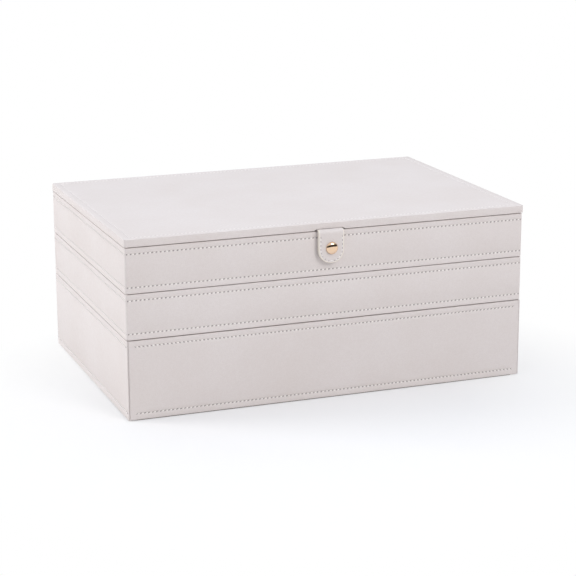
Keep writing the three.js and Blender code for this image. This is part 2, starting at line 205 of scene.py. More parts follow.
def block(box: Box) -> BMesh:
    """Makes a plain block.

    Args:
        box: Its place.

    Returns:
        Its mesh.
    """
    bm = bmesh.new()
    matrix = Matrix.Translation(box.middle) @ Matrix.Diagonal((*box.size, 1))
    bmesh.ops.create_cube(bm, size=1.0, matrix=matrix)
    return bm


def slab(
    box: Box, corner: float, edge: float, corner_steps: int = 5, edge_steps: int = 3
) -> BMesh:
    """Makes a block with rounded corners in plan and rounded upper and lower edges.

    Args:
        box: Its place.
        corner: The radius of its upright edges.
        edge: The radius of its level edges.
        corner_steps: Faces in a corner.
        edge_steps: Faces in a rounded edge.

    Returns:
        Its mesh.
    """
    bm = block(box)
    least_angle = 0.7
    for radius, steps, upright in ((corner, corner_steps, True), (edge, edge_steps, False)):
        if radius <= 0:
            continue
        chosen = [
            e for e in bm.edges if is_upright(e) == upright and e.calc_face_angle(0) > least_angle
        ]
        round_edges(bm, chosen, radius, steps)
    return bm


def join_mesh(bm: BMesh, other: BMesh) -> None:
    """Moves one mesh into another.

    Args:
        bm: The mesh that grows.
        other: The mesh that is used up.
    """
    carrier = bpy.data.meshes.new("carrier")
    other.to_mesh(carrier)
    other.free()
    bm.from_mesh(carrier)
    bpy.data.meshes.remove(carrier)


def turned(
    profile: Iterable[tuple[float, float]], centre: Vector, axis: Vector, steps: int = 48
) -> BMesh:
    """Spins a profile into a closed turned piece.

    Args:
        profile: Pairs of radius and distance along the axis, that start and end on the axis.
        centre: Where distance 0 is.
        axis: The direction of the axis.
        steps: Faces round the piece.

    Returns:
        The mesh.
    """
    bm = bmesh.new()
    side = axis.orthogonal().normalized()
    ring = [bm.verts.new(centre + side * radius + axis * along) for radius, along in profile]
    edges = [bm.edges.new(pair) for pair in zip(ring, ring[1:])]
    bmesh.ops.spin(
        bm, geom=ring + edges, cent=centre, axis=axis, angle=2 * math.pi, steps=steps,
        use_merge=True,
    )
    bmesh.ops.remove_doubles(bm, verts=bm.verts, dist=0.0001)
    bmesh.ops.recalc_face_normals(bm, faces=bm.faces)
    return bm


def softened_copy(node: str, radius: float, steps: int = 2) -> BMesh:
    """Copies a CAD node's shape in millimetres, merged and with its sharp edges rounded.

    Args:
        node: The node's name.
        radius: The radius of the edges.
        steps: Faces across each edge.

    Returns:
        The mesh.
    """
    flat_angle, sharp_angle = math.radians(1), math.radians(50)
    bm = bmesh.new()
    bm.from_mesh(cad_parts[node].data)
    bmesh.ops.scale(bm, vec=Vector((1 / MM,) * 3), verts=bm.verts)
    bmesh.ops.remove_doubles(bm, verts=bm.verts, dist=0.002)
    bmesh.ops.dissolve_limit(bm, angle_limit=flat_angle, verts=bm.verts, edges=bm.edges)
    sharp = [edge for edge in bm.edges if edge.calc_face_angle(0) > sharp_angle]
    round_edges(bm, sharp, radius, steps)
    bmesh.ops.recalc_face_normals(bm, faces=bm.faces)
    return bm


def carve(bm: BMesh, cutter: BMesh) -> BMesh:
    """Cuts one closed mesh out of another.

    Args:
        bm: The mesh that is cut, which is used up.
        cutter: The mesh that cuts it, which is used up.

    Returns:
        What is left.
    """
    objects = []
    for part in (bm, cutter):
        mesh = bpy.data.meshes.new("carving")
        part.to_mesh(mesh)
        part.free()
        objects.append(bpy.data.objects.new("carving", mesh))
        bpy.context.scene.collection.objects.link(objects[-1])
    body, tool = objects
    cut = body.modifiers.new("cut", "BOOLEAN")
    cut.operation = "DIFFERENCE"
    cut.solver = "EXACT"
    cut.object = tool
    evaluated = body.evaluated_get(bpy.context.evaluated_depsgraph_get())
    result = bmesh.new()
    result.from_mesh(evaluated.to_mesh())
    evaluated.to_mesh_clear()
    for item in objects:
        mesh = item.data
        bpy.data.objects.remove(item)
        bpy.data.meshes.remove(mesh)
    return result


# Finishes


def linear(hex_colour: str) -> Colour:
    """Turns an sRGB colour into the linear values that a shader takes.

    Args:
        hex_colour: The colour, such as #E3DAD7.

    Returns:
        Its red, green, blue and alpha.
    """
    channels = [int(hex_colour[k : k + 2], 16) / 255 for k in (1, 3, 5)]
    red, green, blue = (
        c / 12.92 if c <= 0.04045 else ((c + 0.055) / 1.055) ** 2.4 for c in channels
    )
    return red, green, blue, 1.0


def add_node(
    tree: Tree, kind: str, inputs: Optional[dict[Union[str, int], Value]] = None, **settings: Value
) -> Node:
    """Adds a node to a tree.

    Args:
        tree: The tree.
        kind: The node's type after ShaderNode, such as TexNoise.
        inputs: For each input, the value that it has or the output that feeds it.
        settings: The node's own settings.

    Returns:
        The node.
    """
    node = tree.nodes.new(f"ShaderNode{kind}")
    for name, value in settings.items():
        setattr(node, name, value)
    for key, value in (inputs or {}).items():
        if isinstance(value, Socket):
            tree.links.new(value, node.inputs[key])
        else:
            node.inputs[key].default_value = value
    return node


def per_mm(size: float) -> float:
    """The scale at which a pattern on Object coordinates repeats every so many millimetres."""
    return 1 / (size * MM)


@dataclass(frozen=True)
class Finish:
    """A finish of the box: its slot in the record, its sRGB colours and its pattern's sizes.

    The colour drifts to the lighter one in patches. The grain is a fine noise of its own size,
    with a relief of a given strength and depth. Sizes are in millimetres.
    """

    name: str
    slot: str
    colour: str
    lighter: str = "#FFFFFF"
    patch: float = 20.0
    grain: float = 1.0
    detail: float = 2.0
    grain_roughness: float = 0.5
    relief: float = 0.3
    depth: float = 0.1
    roughness: float = 0.5

    def material(self) -> bpy.types.Material:
        """Makes the finish's material, once.

        Returns:
            The material.
        """
        known = bpy.data.materials.get(self.name)
        if known:
            return known
        material = bpy.data.materials.new(self.name)
        material.use_nodes = True
        tree = material.node_tree
        tree.nodes.clear()
        place = add_node(tree, "TexCoord").outputs["Object"]
        shader = self.shade(tree, place)
        add_node(tree, "OutputMaterial", {"Surface": shader.outputs[0]})
        return material

    def shade(self, tree: Tree, place: Socket) -> Node:
        """Adds the finish's own nodes and returns its shader."""
        raise NotImplementedError

    def drifting(self, tree: Tree, place: Socket) -> Socket:
        """Adds the colour, drifting to the lighter one in soft patches.

        Args:
            tree: The material's tree.
            place: The Object coordinates.

        Returns:
            The colour.
        """
        patches = add_node(
            tree, "TexNoise",
            {"Vector": place, "Scale": per_mm(self.patch), "Detail": 3.0, "Roughness": 0.55},
        )
        ramp = add_node(
            tree, "MapRange",
            {"Value": patches.outputs["Fac"], "From Min": 0.3, "From Max": 0.7}, clamp=True,
        )
        mix = add_node(
            tree, "Mix",
            {"Factor": ramp.outputs["Result"], 6: linear(self.colour), 7: linear(self.lighter)},
            data_type="RGBA",
        )
        return mix.outputs[2]

    def grained(self, tree: Tree, place: Socket) -> tuple[Socket, Socket]:
        """Adds the grain and the relief that follows it.

        Args:
            tree: The material's tree.
            place: The Object coordinates.

        Returns:
            The grain from 0 to 1, and the normal.
        """
        grain = add_node(
            tree, "TexNoise",
            {
                "Vector": place, "Scale": per_mm(self.grain), "Detail": self.detail,
                "Roughness": self.grain_roughness,
            },
        ).outputs["Fac"]
        bump = add_node(
            tree, "Bump",
            {"Height": grain, "Strength": self.relief, "Distance": self.depth * MM},
        )
        return grain, bump.outputs[0]


@dataclass(frozen=True)
class Leatherette(Finish):
    """Polyurethane leatherette, calendered with a fine pebble grain.

    It gives the eye an even, satin, slightly powdery surface, with painted shade in its grain's valleys and
    needle holes.
    """

    lighter: str = "#E6DFDD"
    patch: float = 60
    grain: float = 2.6
    detail: float = 6.0
    grain_roughness: float = 0.6
    relief: float = 0.18
    pebble: float = 0.75
    # Painted shade: the darker colour mixed into the grain's valleys.
    valley_shade: str = "#D3C8C4"
    # The colour of the painted shade in the needle holes.
    hole: str = "#463B3C"
    gloss_spread: float = 0.05

    def shade(self, tree: Tree, place: Socket) -> Node:
        """Adds a drifting colour, painted shade in the valleys and needle holes, and a pebble grain in the
        bump.

        Args:
            tree: The material's tree.
            place: The Object coordinates.

        Returns:
            The shader.
        """
        pebbles = add_node(
            tree, "TexVoronoi", {"Vector": place, "Scale": per_mm(self.pebble), "Smoothness": 0.6},
            feature="SMOOTH_F1",
        )
        grain = add_node(
            tree, "TexNoise",
            {
                "Vector": place, "Scale": per_mm(self.grain), "Detail": self.detail,
                "Roughness": self.grain_roughness,
            },
        )
        creases = add_node(
            tree, "Math", {0: pebbles.outputs["Distance"], 1: grain.outputs["Fac"]},
            operation="ADD",
        )
        # Painted shade in the grain's valleys, where the creases lie deepest.
        valley_shade_mask = add_node(
            tree, "MapRange",
            {"Value": creases.outputs[0], "From Min": 0.7, "From Max": 1.2, "To Max": 0.24},
            clamp=True,
        )
        valley_shaded = add_node(
            tree, "Mix",
            {
                "Factor": valley_shade_mask.outputs["Result"], 6: self.drifting(tree, place),
                7: linear(self.valley_shade),
            },
            data_type="RGBA",
        )
        # Painted shade: the needle holes darken to the hole colour by their weight.
        needle = add_node(tree, "Attribute", attribute_name=NEEDLE)
        colour = add_node(
            tree, "Mix",
            {"Factor": needle.outputs["Fac"], 6: valley_shaded.outputs[2], 7: linear(self.hole)},
            data_type="RGBA",
        )
        gloss = add_node(
            tree, "MapRange",
            {
                "Value": grain.outputs["Fac"], "From Min": 0.3, "From Max": 0.7,
                "To Min": self.roughness - self.gloss_spread,
                "To Max": self.roughness + self.gloss_spread,
            },
        )
        bump = add_node(
            tree, "Bump",
            {
                "Height": creases.outputs[0], "Strength": self.relief,
                "Distance": self.depth * MM,
            },
            invert=True,
        )
        return add_node(
            tree, "BsdfPrincipled",
            {
                "Base Color": colour.outputs[2], "Roughness": gloss.outputs["Result"],
                "Normal": bump.outputs[0], "IOR": 1.46, "Specular IOR Level": 0.5,
            },
        )


@dataclass(frozen=True)
class SewingThread(Finish):
    """Bonded polyester thread, three plies twisted.

    It gives the eye a smooth, faintly ribbed line, a little lighter than the cover. The grain is
    as wide as a ply.
    """

    lighter: str = "#FFFDFA"
    patch: float = 9
    grain: float = 0.35
    detail: float = 1.0
    depth: float = 0.06
    roughness: float = 0.45
    sheen: float = 0.15

    def shade(self, tree: Tree, place: Socket) -> Node:
        """Adds a fine twist in the bump over an even colour.

        Args:
            tree: The material's tree.
            place: The Object coordinates.

        Returns:
            The shader.
        """
        _, normal = self.grained(tree, place)
        return add_node(
            tree, "BsdfPrincipled",
            {
                "Base Color": self.drifting(tree, place), "Roughness": self.roughness,
                "Normal": normal, "Sheen Weight": self.sheen,
            },
        )


@dataclass(frozen=True)
class EdgePaint(Finish):
    """Acrylic edge paint on cut leatherette: thick, cream, semi-gloss and slightly uneven."""

    lighter: str = "#F7F0E6"
    patch: float = 5
    grain: float = 1.4
    relief: float = 0.25
    roughness: float = 0.36

    def shade(self, tree: Tree, place: Socket) -> Node:
        """Adds a gentle waviness under an even gloss.

        Args:
            tree: The material's tree.
            place: The Object coordinates.

        Returns:
            The shader.
        """
        _, normal = self.grained(tree, place)
        return add_node(
            tree, "BsdfPrincipled",
            {
                "Base Color": self.drifting(tree, place), "Roughness": self.roughness,
                "Normal": normal,
            },
        )


@dataclass(frozen=True)
class Pile(Finish):
    """A short pile, brushed on velvet and pressed on felt.

    It gives the eye a matt surface that is soft at grazing angles and a little patchy. The real
    fibres are too fine to show, so the grain is drawn as coarse as small tufts.
    """

    lighter: str = "#D5C6BF"
    patch: float = 22
    grain: float = 0.5
    detail: float = 4.0
    grain_roughness: float = 0.7
    relief: float = 0.5
    depth: float = 0.2
    roughness: float = 0.95
    sheen: float = 0.6
    # The colour of the painted shade among the fibres.
    between: str = "#A8978F"

    def shade(self, tree: Tree, place: Socket) -> Node:
        """Adds lighter patches, fibres in the bump, and painted shade among the fibres in the colour.

        Args:
            tree: The material's tree.
            place: The Object coordinates.

        Returns:
            The shader.
        """
        fibres, normal = self.grained(tree, place)
        # Painted shade among the fibres, mixed in by the fibre grain.
        fibre_shade_mask = add_node(
            tree, "MapRange",
            {"Value": fibres, "From Min": 0.35, "From Max": 0.65, "To Max": 0.25}, clamp=True,
        )
        shadowed = add_node(
            tree, "Mix",
            {
                "Factor": fibre_shade_mask.outputs["Result"], 6: self.drifting(tree, place),
                7: linear(self.between),
            },
            data_type="RGBA",
        )
        return add_node(
            tree, "BsdfPrincipled",
            {
                "Base Color": shadowed.outputs[2], "Roughness": self.roughness, "Normal": normal,
                "Sheen Weight": self.sheen, "Sheen Roughness": 0.35, "Specular IOR Level": 0.2,
            },
        )


@dataclass(frozen=True)
class PlatedMetal(Finish):
    """Brass, polished and plated in pale gold: a mirror gloss with the faintest lapping marks.

    The real marks are too fine to show, and are drawn coarser.
    """

    grain: float = 1.5
    detail: float = 4.0
    grain_roughness: float = 0.6
    relief: float = 0.05
    depth: float = 0.02
    roughness: float = 0.09
    smoother: float = 0.03
    rougher: float = 0.06

    def shade(self, tree: Tree, place: Socket) -> Node:
        """Adds an even metal with fine unevenness in its gloss.

        Args:
            tree: The material's tree.
            place: The Object coordinates.

        Returns:
            The shader.
        """
        marks, normal = self.grained(tree, place)
        gloss = add_node(
            tree, "MapRange",
            {
                "Value": marks, "To Min": self.roughness - self.smoother,
                "To Max": self.roughness + self.rougher,
            },
        )
        return add_node(
            tree, "BsdfPrincipled",
            {
                "Base Color": linear(self.colour), "Metallic": 1.0,
                "Roughness": gloss.outputs["Result"], "Normal": normal,
            },
        )


@dataclass(frozen=True)
class SilveredGlass(Finish):
    """Float glass silvered on its back: a clear, even reflection with a very slight cool cast."""

    grain: float = 18
    detail: float = 6.0
    clean: float = 0.005
    dusty: float = 0.03

    def shade(self, tree: Tree, place: Socket) -> Node:
        """Adds a mirror whose gloss is broken only by a trace of dust.

        Args:
            tree: The material's tree.
            place: The Object coordinates.

        Returns:
            The shader.
        """
        dust = add_node(
            tree, "TexNoise",
            {"Vector": place, "Scale": per_mm(self.grain), "Detail": self.detail},
        )
        gloss = add_node(
            tree, "MapRange",
            {"Value": dust.outputs["Fac"], "To Min": self.clean, "To Max": self.dusty},
        )
        return add_node(
            tree, "BsdfPrincipled",
            {
                "Base Color": linear(self.colour), "Metallic": 1.0,
                "Roughness": gloss.outputs["Result"],
            },
        )


LEATHERETTE = Leatherette("calendered_leatherette", "leatherette", "#E2DAD7")
THREAD = SewingThread("bonded_thread", "leatherette", "#F8F4F0")
EDGE_PAINT = EdgePaint("edge_paint", "leatherette", "#F3EADD")
VELVET = Pile("short_pile_velvet", "velvet", "#CBBBB4")
FELT = Pile("pressed_felt", "felt", "#B5A8A2", lighter="#BFB3AD", grain=0.8, sheen=0.2)
# A darker copy of the felt: painted shade, so the base pad reads as the dark line under the front.
SHADED_BASE_FELT = Pile("base_felt_painted_shade", "felt", "#645853", lighter="#6E625D", grain=0.8, sheen=0.1)
GOLD = PlatedMetal("polished_gold_plating", "gold", "#EBCDB0")
MIRROR = SilveredGlass("silvered_mirror", "mirror", "#EEF2F2")


def finish_piece(
    name: str,
    bm: BMesh,
    finishes: Union[Finish, list[Finish]],
    body: Optional[str],
    replaces: Iterable[str] = (),
    smooth_angle: float = 42,
) -> bpy.types.Object:
    """Writes a mesh out in metres as a finished piece.

    Args:
        name: The piece's name.
        bm: Its mesh in millimetres, which is used up.
        finishes: Its finish, or those that its faces' material numbers name.
        body: The CAD body that it rides on, or None where it is blended afterwards.
        replaces: The CAD nodes that it stands for.
        smooth_angle: Edges sharper than this many degrees stay crisp.

    Returns:
        The object.
    """
    chosen = [finishes] if isinstance(finishes, Finish) else finishes
    bmesh.ops.scale(bm, vec=Vector((MM,) * 3), verts=bm.verts)
    mesh = bpy.data.meshes.new(name)
    bm.to_mesh(mesh)
    bm.free()
    for finish in chosen:
        mesh.materials.append(finish.material())
    mesh.shade_smooth()
    mesh.set_sharp_from_angle(angle=math.radians(smooth_angle))
    piece = bpy.data.objects.new(name, mesh)
    bpy.context.scene.collection.objects.link(piece)
    if body:
        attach(piece, body)
    if replaces:
        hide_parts(*replaces)
    LOG.info("%s: %d faces", name, len(mesh.polygons))
    return piece


# Sewn covers


class Side(Enum):
    """A side of an outline: the corners of its core that it runs between, and the way it faces."""

    FRONT = ((-1, -1), (1, -1), (0, -1))
    RIGHT = ((1, -1), (1, 1), (1, 0))
    BACK = ((1, 1), (-1, 1), (0, 1))
    LEFT = ((-1, 1), (-1, -1), (-1, 0))


@dataclass(frozen=True)
class Stitching:
    """One size of lockstitch: its pitch, the channel and holes that it pulls, and its thread."""

    pitch: float = 3.4
    channel: float = 0.95
    pull: float = 0.28
    hole: float = 0.6
    thread_length_share: float = 0.54
    thread_width: float = 0.8
    thread_rise: float = 0.34
    thread_lift_share: float = 0.35
    wander: float = 0.05
    shortest: float = 0.94
    longest: float = 1.04
    shade: float = 1.0
    columns: int = 4

    @property
    def lift(self) -> float:
        """How far the thread's middle lies above the face that the sewing pulls down."""
        return self.thread_rise * self.thread_lift_share - self.pull

    def add_thread(
        self, bm: BMesh, start: Vector, end: Vector, normal: Vector, chance: random.Random
    ) -> None:
        """Adds the short length of thread that lies between two needle holes.

        Args:
            bm: The mesh that it joins.
            start: The first hole.
            end: The next hole.
            normal: The way that the cover faces.
            chance: Where its small irregularities come from.
        """
        along = (end - start).normalized()
        across = normal.cross(along)
        along = (along + across * chance.uniform(-self.wander, self.wander)).normalized()
        across = normal.cross(along)
        length = (end - start).length * self.thread_length_share
        length *= chance.uniform(self.shortest, self.longest)
        turn = Matrix(
            (across * self.thread_width, normal * 2 * self.thread_rise, along * length)
        ).transposed()
        middle = (start + end) / 2 + across * chance.uniform(-self.wander, self.wander)
        matrix = Matrix.Translation(middle) @ turn.to_4x4()
        bmesh.ops.create_uvsphere(bm, u_segments=6, v_segments=5, radius=0.5, matrix=matrix)


EDGE_STITCHING = Stitching()
LID_STITCHING = Stitching(pull=0.1, hole=0.12, thread_width=0.5, thread_rise=0.14, shade=0.3)
TAB_STITCHING = Stitching(
    pitch=3.3, channel=0.45, pull=0.2, hole=0.4, thread_width=0.62, thread_rise=0.3
)

# Across a sewn channel: the place in half widths, and how much of the pull there is.
CHANNEL_SECTION: Profile = ((-1.0, 0.0), (-0.5, 0.6), (0.0, 1.0), (0.5, 0.6), (1.0, 0.0))


@dataclass(frozen=True)
class Station:
    """A place along a cover's outline, where one column of its points stands."""

    core: tuple[float, float]
    out: tuple[float, float]
    sewn: float = 0.0
    needle: bool = False
    reach: float = math.inf


@dataclass(frozen=True)
class Line:
    """A line round a cover: how far in from its face, how high, and how much it is pulled."""

    inset: float
    height: float
    pull: float = 0.0
    inner: bool = False
    on_top: bool = False


@dataclass
class Cover:
    """A leatherette cover over a board.

    It is a solid board where there is no wall, a wall all round where there is one, and a wall
    that is open at the front, with a lip at each end, where there is a lip as well.
    """

    name: str
    body: str
    replaces: tuple[str, ...]
    box: Box
    corner: float
    stitching: Stitching = EDGE_STITCHING
    wall: Optional[float] = None
    lip: Optional[float] = None
    lip_reach: float = 0.0
    cavity_corner: float = 2.0
    top_edge: float = 0.4
    bottom_edge: float = 0.4
    inner_edge_share: float = 0.7
    flat_ring: float = 2.0
    side_seams: tuple[float, ...] = ()
    top_seam: Optional[float] = None
    sewn_sides: frozenset[Side] = frozenset(Side)
    front_margin: float = 4.0
    tip_radius: float = 0.4
    inner_tip_radius: float = 0.12
    least_corner: float = 0.5
    corner_steps: int = 4
    edge_steps: int = 4
    finish: Finish = LEATHERETTE
    stations: list[Station] = field(init=False)
    lines: list[Line] = field(init=False)

    def __post_init__(self) -> None:
        """Works out the columns and the rows."""
        self.stations = list(self.walk())
        self.lines = list(self.section())

    @property
    def open_front(self) -> bool:
        """Whether the wall stops at the front with a lip at each end."""
        return self.lip is not None

    def ends_at_front(self, side: Side) -> bool:
        """Whether a side has an end at the open front."""
        return self.open_front and side is not Side.BACK

    def run_length(self, side: Side) -> float:
        """Measures the straight length of one side.

        Args:
            side: The side.

        Returns:
            Its length.
        """
        size = self.box.size
        if side in (Side.FRONT, Side.BACK):
            return size.x - 2 * self.corner
        return size.y - (1 if self.open_front else 2) * self.corner

    def walk(self) -> Iterator[Station]:
        """Walks round the outline.

        Yields:
            Its stations in order.
        """
        sides = [Side.RIGHT, Side.BACK, Side.LEFT] if self.open_front else list(Side)
        for number, side in enumerate(sides):
            yield from self.walk_side(side)
            if self.open_front and number == len(sides) - 1:
                return
            _, end, out = side.value
            turn = math.atan2(out[1], out[0])
            for angle in quarter_steps(self.corner_steps)[1:-1]:
                yield Station(end, (math.cos(turn + angle), math.sin(turn + angle)))

    def side_shares(self, side: Side) -> list[tuple[float, bool, bool]]:
        """Lays out one side.

        Args:
            side: The side.

        Returns:
            For each station, its share of the side's length, whether it is sewn there, and
            whether it is a needle hole.
        """
        length = self.run_length(side)
        margins = [0.0, 0.0]
        shares = [(0.0, False, False), (1.0, False, False)]
        if self.ends_at_front(side):
            open_end = 0 if side is Side.RIGHT else 1
            margins[open_end] = self.front_margin
            shares = [(1.0 - open_end, False, False)]
            for radius in (self.tip_radius, self.inner_tip_radius):
                for angle in quarter_steps(self.edge_steps):
                    share = radius * (1 - math.cos(angle)) / length
                    shares.append((1 - share if open_end else share, False, False))
        if side in self.sewn_sides:
            run = length - sum(margins)
            count = round(run / self.stitching.pitch) * self.stitching.columns
            first = margins[0] / length
            for k in range(count + 1):
                share = first + k / count * run / length
                shares.append((share, True, k % self.stitching.columns == 0))
        return shares

    def walk_side(self, side: Side) -> Iterator[Station]:
        """Walks along one straight side, from its first corner to its last.

        Args:
            side: The side.

        Yields:
            Its stations in order, one at each place.
        """
        start, end, out = side.value
        length = self.run_length(side)
        placed = {round(entry[0], 6): entry for entry in self.side_shares(side)}
        for key in sorted(placed):
            share, sewn, needle = placed[key]
            core = tuple(a + (b - a) * share for a, b in zip(start, end))
            reach = math.inf
            if self.ends_at_front(side):
                reach = length * (share if side is Side.RIGHT else 1 - share)
            yield Station(core, out, float(sewn), needle, reach)

    def section(self) -> Iterator[Line]:
        """Goes across the cover: up its face, over its top and, on a wall, down inside.

        Yields:
            Its lines in order.
        """
        low, high = self.box.low.z, self.box.high.z
        angles = quarter_steps(self.edge_steps)
        width = self.stitching.channel
        if self.wall is None:
            yield Line(self.bottom_edge + self.flat_ring, low)
        for a in angles:
            yield Line(
                self.bottom_edge * (1 - math.sin(a)), low + self.bottom_edge * (1 - math.cos(a))
            )
        for seam in sorted(self.side_seams):
            for step, pull in CHANNEL_SECTION:
                yield Line(0, seam + step * width, pull)
        for a in angles:
            yield Line(self.top_edge * (1 - math.cos(a)), high - self.top_edge * (1 - math.sin(a)))
        if self.top_seam is not None:
            for step, pull in CHANNEL_SECTION:
                yield Line(self.top_seam + step * width, high, pull, on_top=True)
            yield Line(self.top_seam + width + self.flat_ring, high)
        elif self.wall is None:
            yield Line(self.top_edge + self.flat_ring, high)
        if self.wall is not None:
            inner = self.inner_edge_share * min(self.top_edge, self.wall / 2)
            for a in angles:
                yield Line(
                    inner * (1 - math.sin(a)), high - inner * (1 - math.cos(a)), inner=True
                )
            for a in angles:
                yield Line(inner * (1 - math.cos(a)), low + inner * (1 - math.sin(a)), inner=True)

    def point(self, station: Station, line: Line) -> Vector:
        """Finds where a line passes a station.

        Args:
            station: The station.
            line: The line.

        Returns:
            The point.
        """
        wall = self.lip if self.open_front and station.reach < self.lip_reach else self.wall
        radius = self.inner_tip_radius if line.inner else self.tip_radius
        short = max(0.0, radius - station.reach)
        inset = line.inset + radius - math.sqrt(radius**2 - short**2)
        depth = wall - inset if line.inner else inset
        corner = max(self.corner - inset, self.least_corner)
        if line.inner:
            corner = self.cavity_corner + inset
        sunk = line.pull * station.sewn * self.stitching.pull
        if station.needle and line.pull == 1:
            sunk += self.stitching.hole
        out = corner - (0 if line.on_top else sunk)
        size, middle = self.box.size, self.box.middle
        reach_x = size.x / 2 - depth - corner
        high_y = size.y / 2 - depth - corner
        low_y = -size.y / 2 if self.open_front else -high_y
        x = middle.x + station.core[0] * reach_x + station.out[0] * out
        y = middle.y + low_y + (station.core[1] + 1) / 2 * (high_y - low_y) + station.out[1] * out
        return Vector((x, y, line.height - (sunk if line.on_top else 0)))

    def shell(self) -> BMesh:
        """Makes the cover, with its needle holes marked.

        Returns:
            The mesh.
        """
        bm, points = bent_grid(
            len(self.stations), len(self.lines),
            lambda i, j: self.point(self.stations[i], self.lines[j]),
            around=not self.open_front, closed_rows=self.wall is not None,
        )
        hole_shade = bm.verts.layers.float[NEEDLE]
        # Needle holes get painted shade, strongest in the middle of the channel.
        for (i, j), vert in points.items():
            if self.stations[i].needle:
                vert[hole_shade] = self.lines[j].pull**2 * self.stitching.shade
        close_holes(bm)
        return bm

    def threads(self, chance: random.Random) -> BMesh:
        """Makes the thread of all the cover's seams.

        Args:
            chance: Where its small irregularities come from.

        Returns:
            The mesh.
        """
        bm = bmesh.new()
        for line in self.lines:
            if line.pull < 1:
                continue
            seam = Line(line.inset, line.height, 0.0, on_top=line.on_top)
            for side in Side:
                if side not in self.sewn_sides:
                    continue
                out = side.value[2]
                normal = UP if line.on_top else Vector((*out, 0))
                lift = normal * self.stitching.lift
                needles = [s for s in self.stations if s.needle and s.out == out]
                holes = [self.point(station, seam) + lift for station in needles]
                row = bmesh.new()
                for start, end in zip(holes, holes[1:]):
                    self.stitching.add_thread(row, start, end, normal, chance)
                join_mesh(bm, row)
        return bm


@dataclass
class BoxScene:
    """What the sub-assemblies share: how a cover is sewn, and where irregularities come from."""

    chance: random.Random = field(default_factory=lambda: random.Random(7))

    def sew(
        self,
        cover: Cover,
        parts: Iterable[BMesh] = (),
        cutters: Iterable[BMesh] = (),
        turn: Optional[Matrix] = None,
    ) -> None:
        """Finishes a cover and its thread.

        Args:
            cover: The cover.
            parts: Meshes that become part of the same piece, clear of the cutters.
            cutters: Meshes that are cut out of the cover.
            turn: How the cover is turned into place, where its box doesn't say.
        """
        shell, thread = cover.shell(), cover.threads(self.chance)
        if turn:
            for bm in (shell, thread):
                bmesh.ops.transform(bm, matrix=turn, verts=bm.verts)
        for cutter in cutters:
            shell = carve(shell, cutter)
        for part in parts:
            join_mesh(shell, part)
        finish_piece(f"{cover.name}_cover", shell, cover.finish, cover.body, cover.replaces)
        if len(thread.verts):
            finish_piece(f"{cover.name}_stitching", thread, THREAD, cover.body)
        else:
            thread.free()


# The box


def crowned_pad(
    box: Box,
    cuts: int = 12,
    edge_share: float = 0.3,
    flatness: float = 2.6,
    fullness: float = 0.6,
) -> BMesh:
    """Makes a thin foam pad with a flat underside and a top that rounds off at the edges.

    Args:
        box: Its place.
        cuts: Rows of points across it.
        edge_share: The height of its edge, as a share of the middle's.
        flatness: How far the flat middle of its top goes towards the edges.
        fullness: How steeply it rises from them, steeper where smaller.

    Returns:
        The mesh.
    """
    bm = block(box)
    size = box.size
    bmesh.ops.subdivide_edges(bm, edges=bm.edges, cuts=cuts, use_grid_fill=True)
    for vert in bm.verts:
        offset = vert.co - box.middle
        u, v = (abs(2 * offset[k] / size[k]) for k in (0, 1))
        crown = max(0.0, 1 - u**flatness) * max(0.0, 1 - v**flatness)
        share = (vert.co.z - box.low.z) / size.z
        height = size.z * (edge_share + (1 - edge_share) * crown**fullness)
        vert.co.z = box.low.z + share * height
    bmesh.ops.recalc_face_normals(bm, faces=bm.faces)
    return bm


@dataclass
class Lining(BoxScene):
    """A velvet liner in a tray, with its dividers and a crowned pad in each compartment."""

    prefix: str = ""
    body: str = ""
    long_dividers: int = 0
    cross_dividers: int = 0
    skipped: frozenset[tuple[int, int]] = frozenset()
    wall: float = 1.6
    corner: float = 2.0
    cavity_corner: float = 1.5
    rim_edge: float = 0.75
    floor_inset: float = 0.8
    divider_edge: float = 0.35
    pad_rise: float = 2.2

    def build(self) -> None:
        """Makes the liner, the dividers and the pads."""
        node = f"{self.prefix}_lining"
        box = node_box(node)
        walls = Cover(
            node, self.body, (node,), box, self.corner, wall=self.wall,
            cavity_corner=self.cavity_corner, top_edge=self.rim_edge,
            sewn_sides=frozenset(), finish=VELVET, edge_steps=3,
        )
        self.sew(walls, [slab(box.bottom(self.floor_inset, self.wall), self.corner, 0)])
        for way, count in (("long", self.long_dividers), ("cross", self.cross_dividers)):
            for number in range(1, count + 1):
                name = f"{self.prefix}_{way}_divider_{number}"
                divider = softened_copy(name, self.divider_edge)
                finish_piece(f"{name}_velvet", divider, VELVET, self.body, (name,))
        self.floor_pads(box)

    def floor_pads(self, box: Box) -> None:
        """Makes a crowned pad on the floor of each compartment.

        Args:
            box: The liner's place.
        """
        columns = self.rooms(box, "cross", self.cross_dividers, 0)
        rows = self.rooms(box, "long", self.long_dividers, 1)
        bm = bmesh.new()
        bottom = box.low.z + self.wall
        top = bottom + self.pad_rise
        for i, (x0, x1) in enumerate(columns):
            for j, (y0, y1) in enumerate(rows):
                if (i, j) not in self.skipped:
                    room = Box(Vector((x0, y0, bottom)), Vector((x1, y1, top)))
                    join_mesh(bm, crowned_pad(room))
        pads = finish_piece(f"{self.prefix}_floor_pads", bm, VELVET, self.body)

    def rooms(self, box: Box, way: str, count: int, axis: int) -> list[tuple[float, float]]:
        """Measures the rooms between the dividers, clear of them and of the walls.

        Args:
            box: The liner's place.
            way: The dividers' name, long or cross.
            count: How many dividers there are.
            axis: The number of the axis that the rooms follow each other along.

        Returns:
            The start and the end of each room.
        """
        inset = self.wall + SEAT_GAP
        ends = [box.low[axis] + inset]
        for k in range(count):
            divider = node_box(f"{self.prefix}_{way}_divider_{k + 1}")
            ends += [divider.low[axis] - SEAT_GAP, divider.high[axis] + SEAT_GAP]
        ends.append(box.high[axis] - inset)
        return list(zip(ends[::2], ends[1::2]))


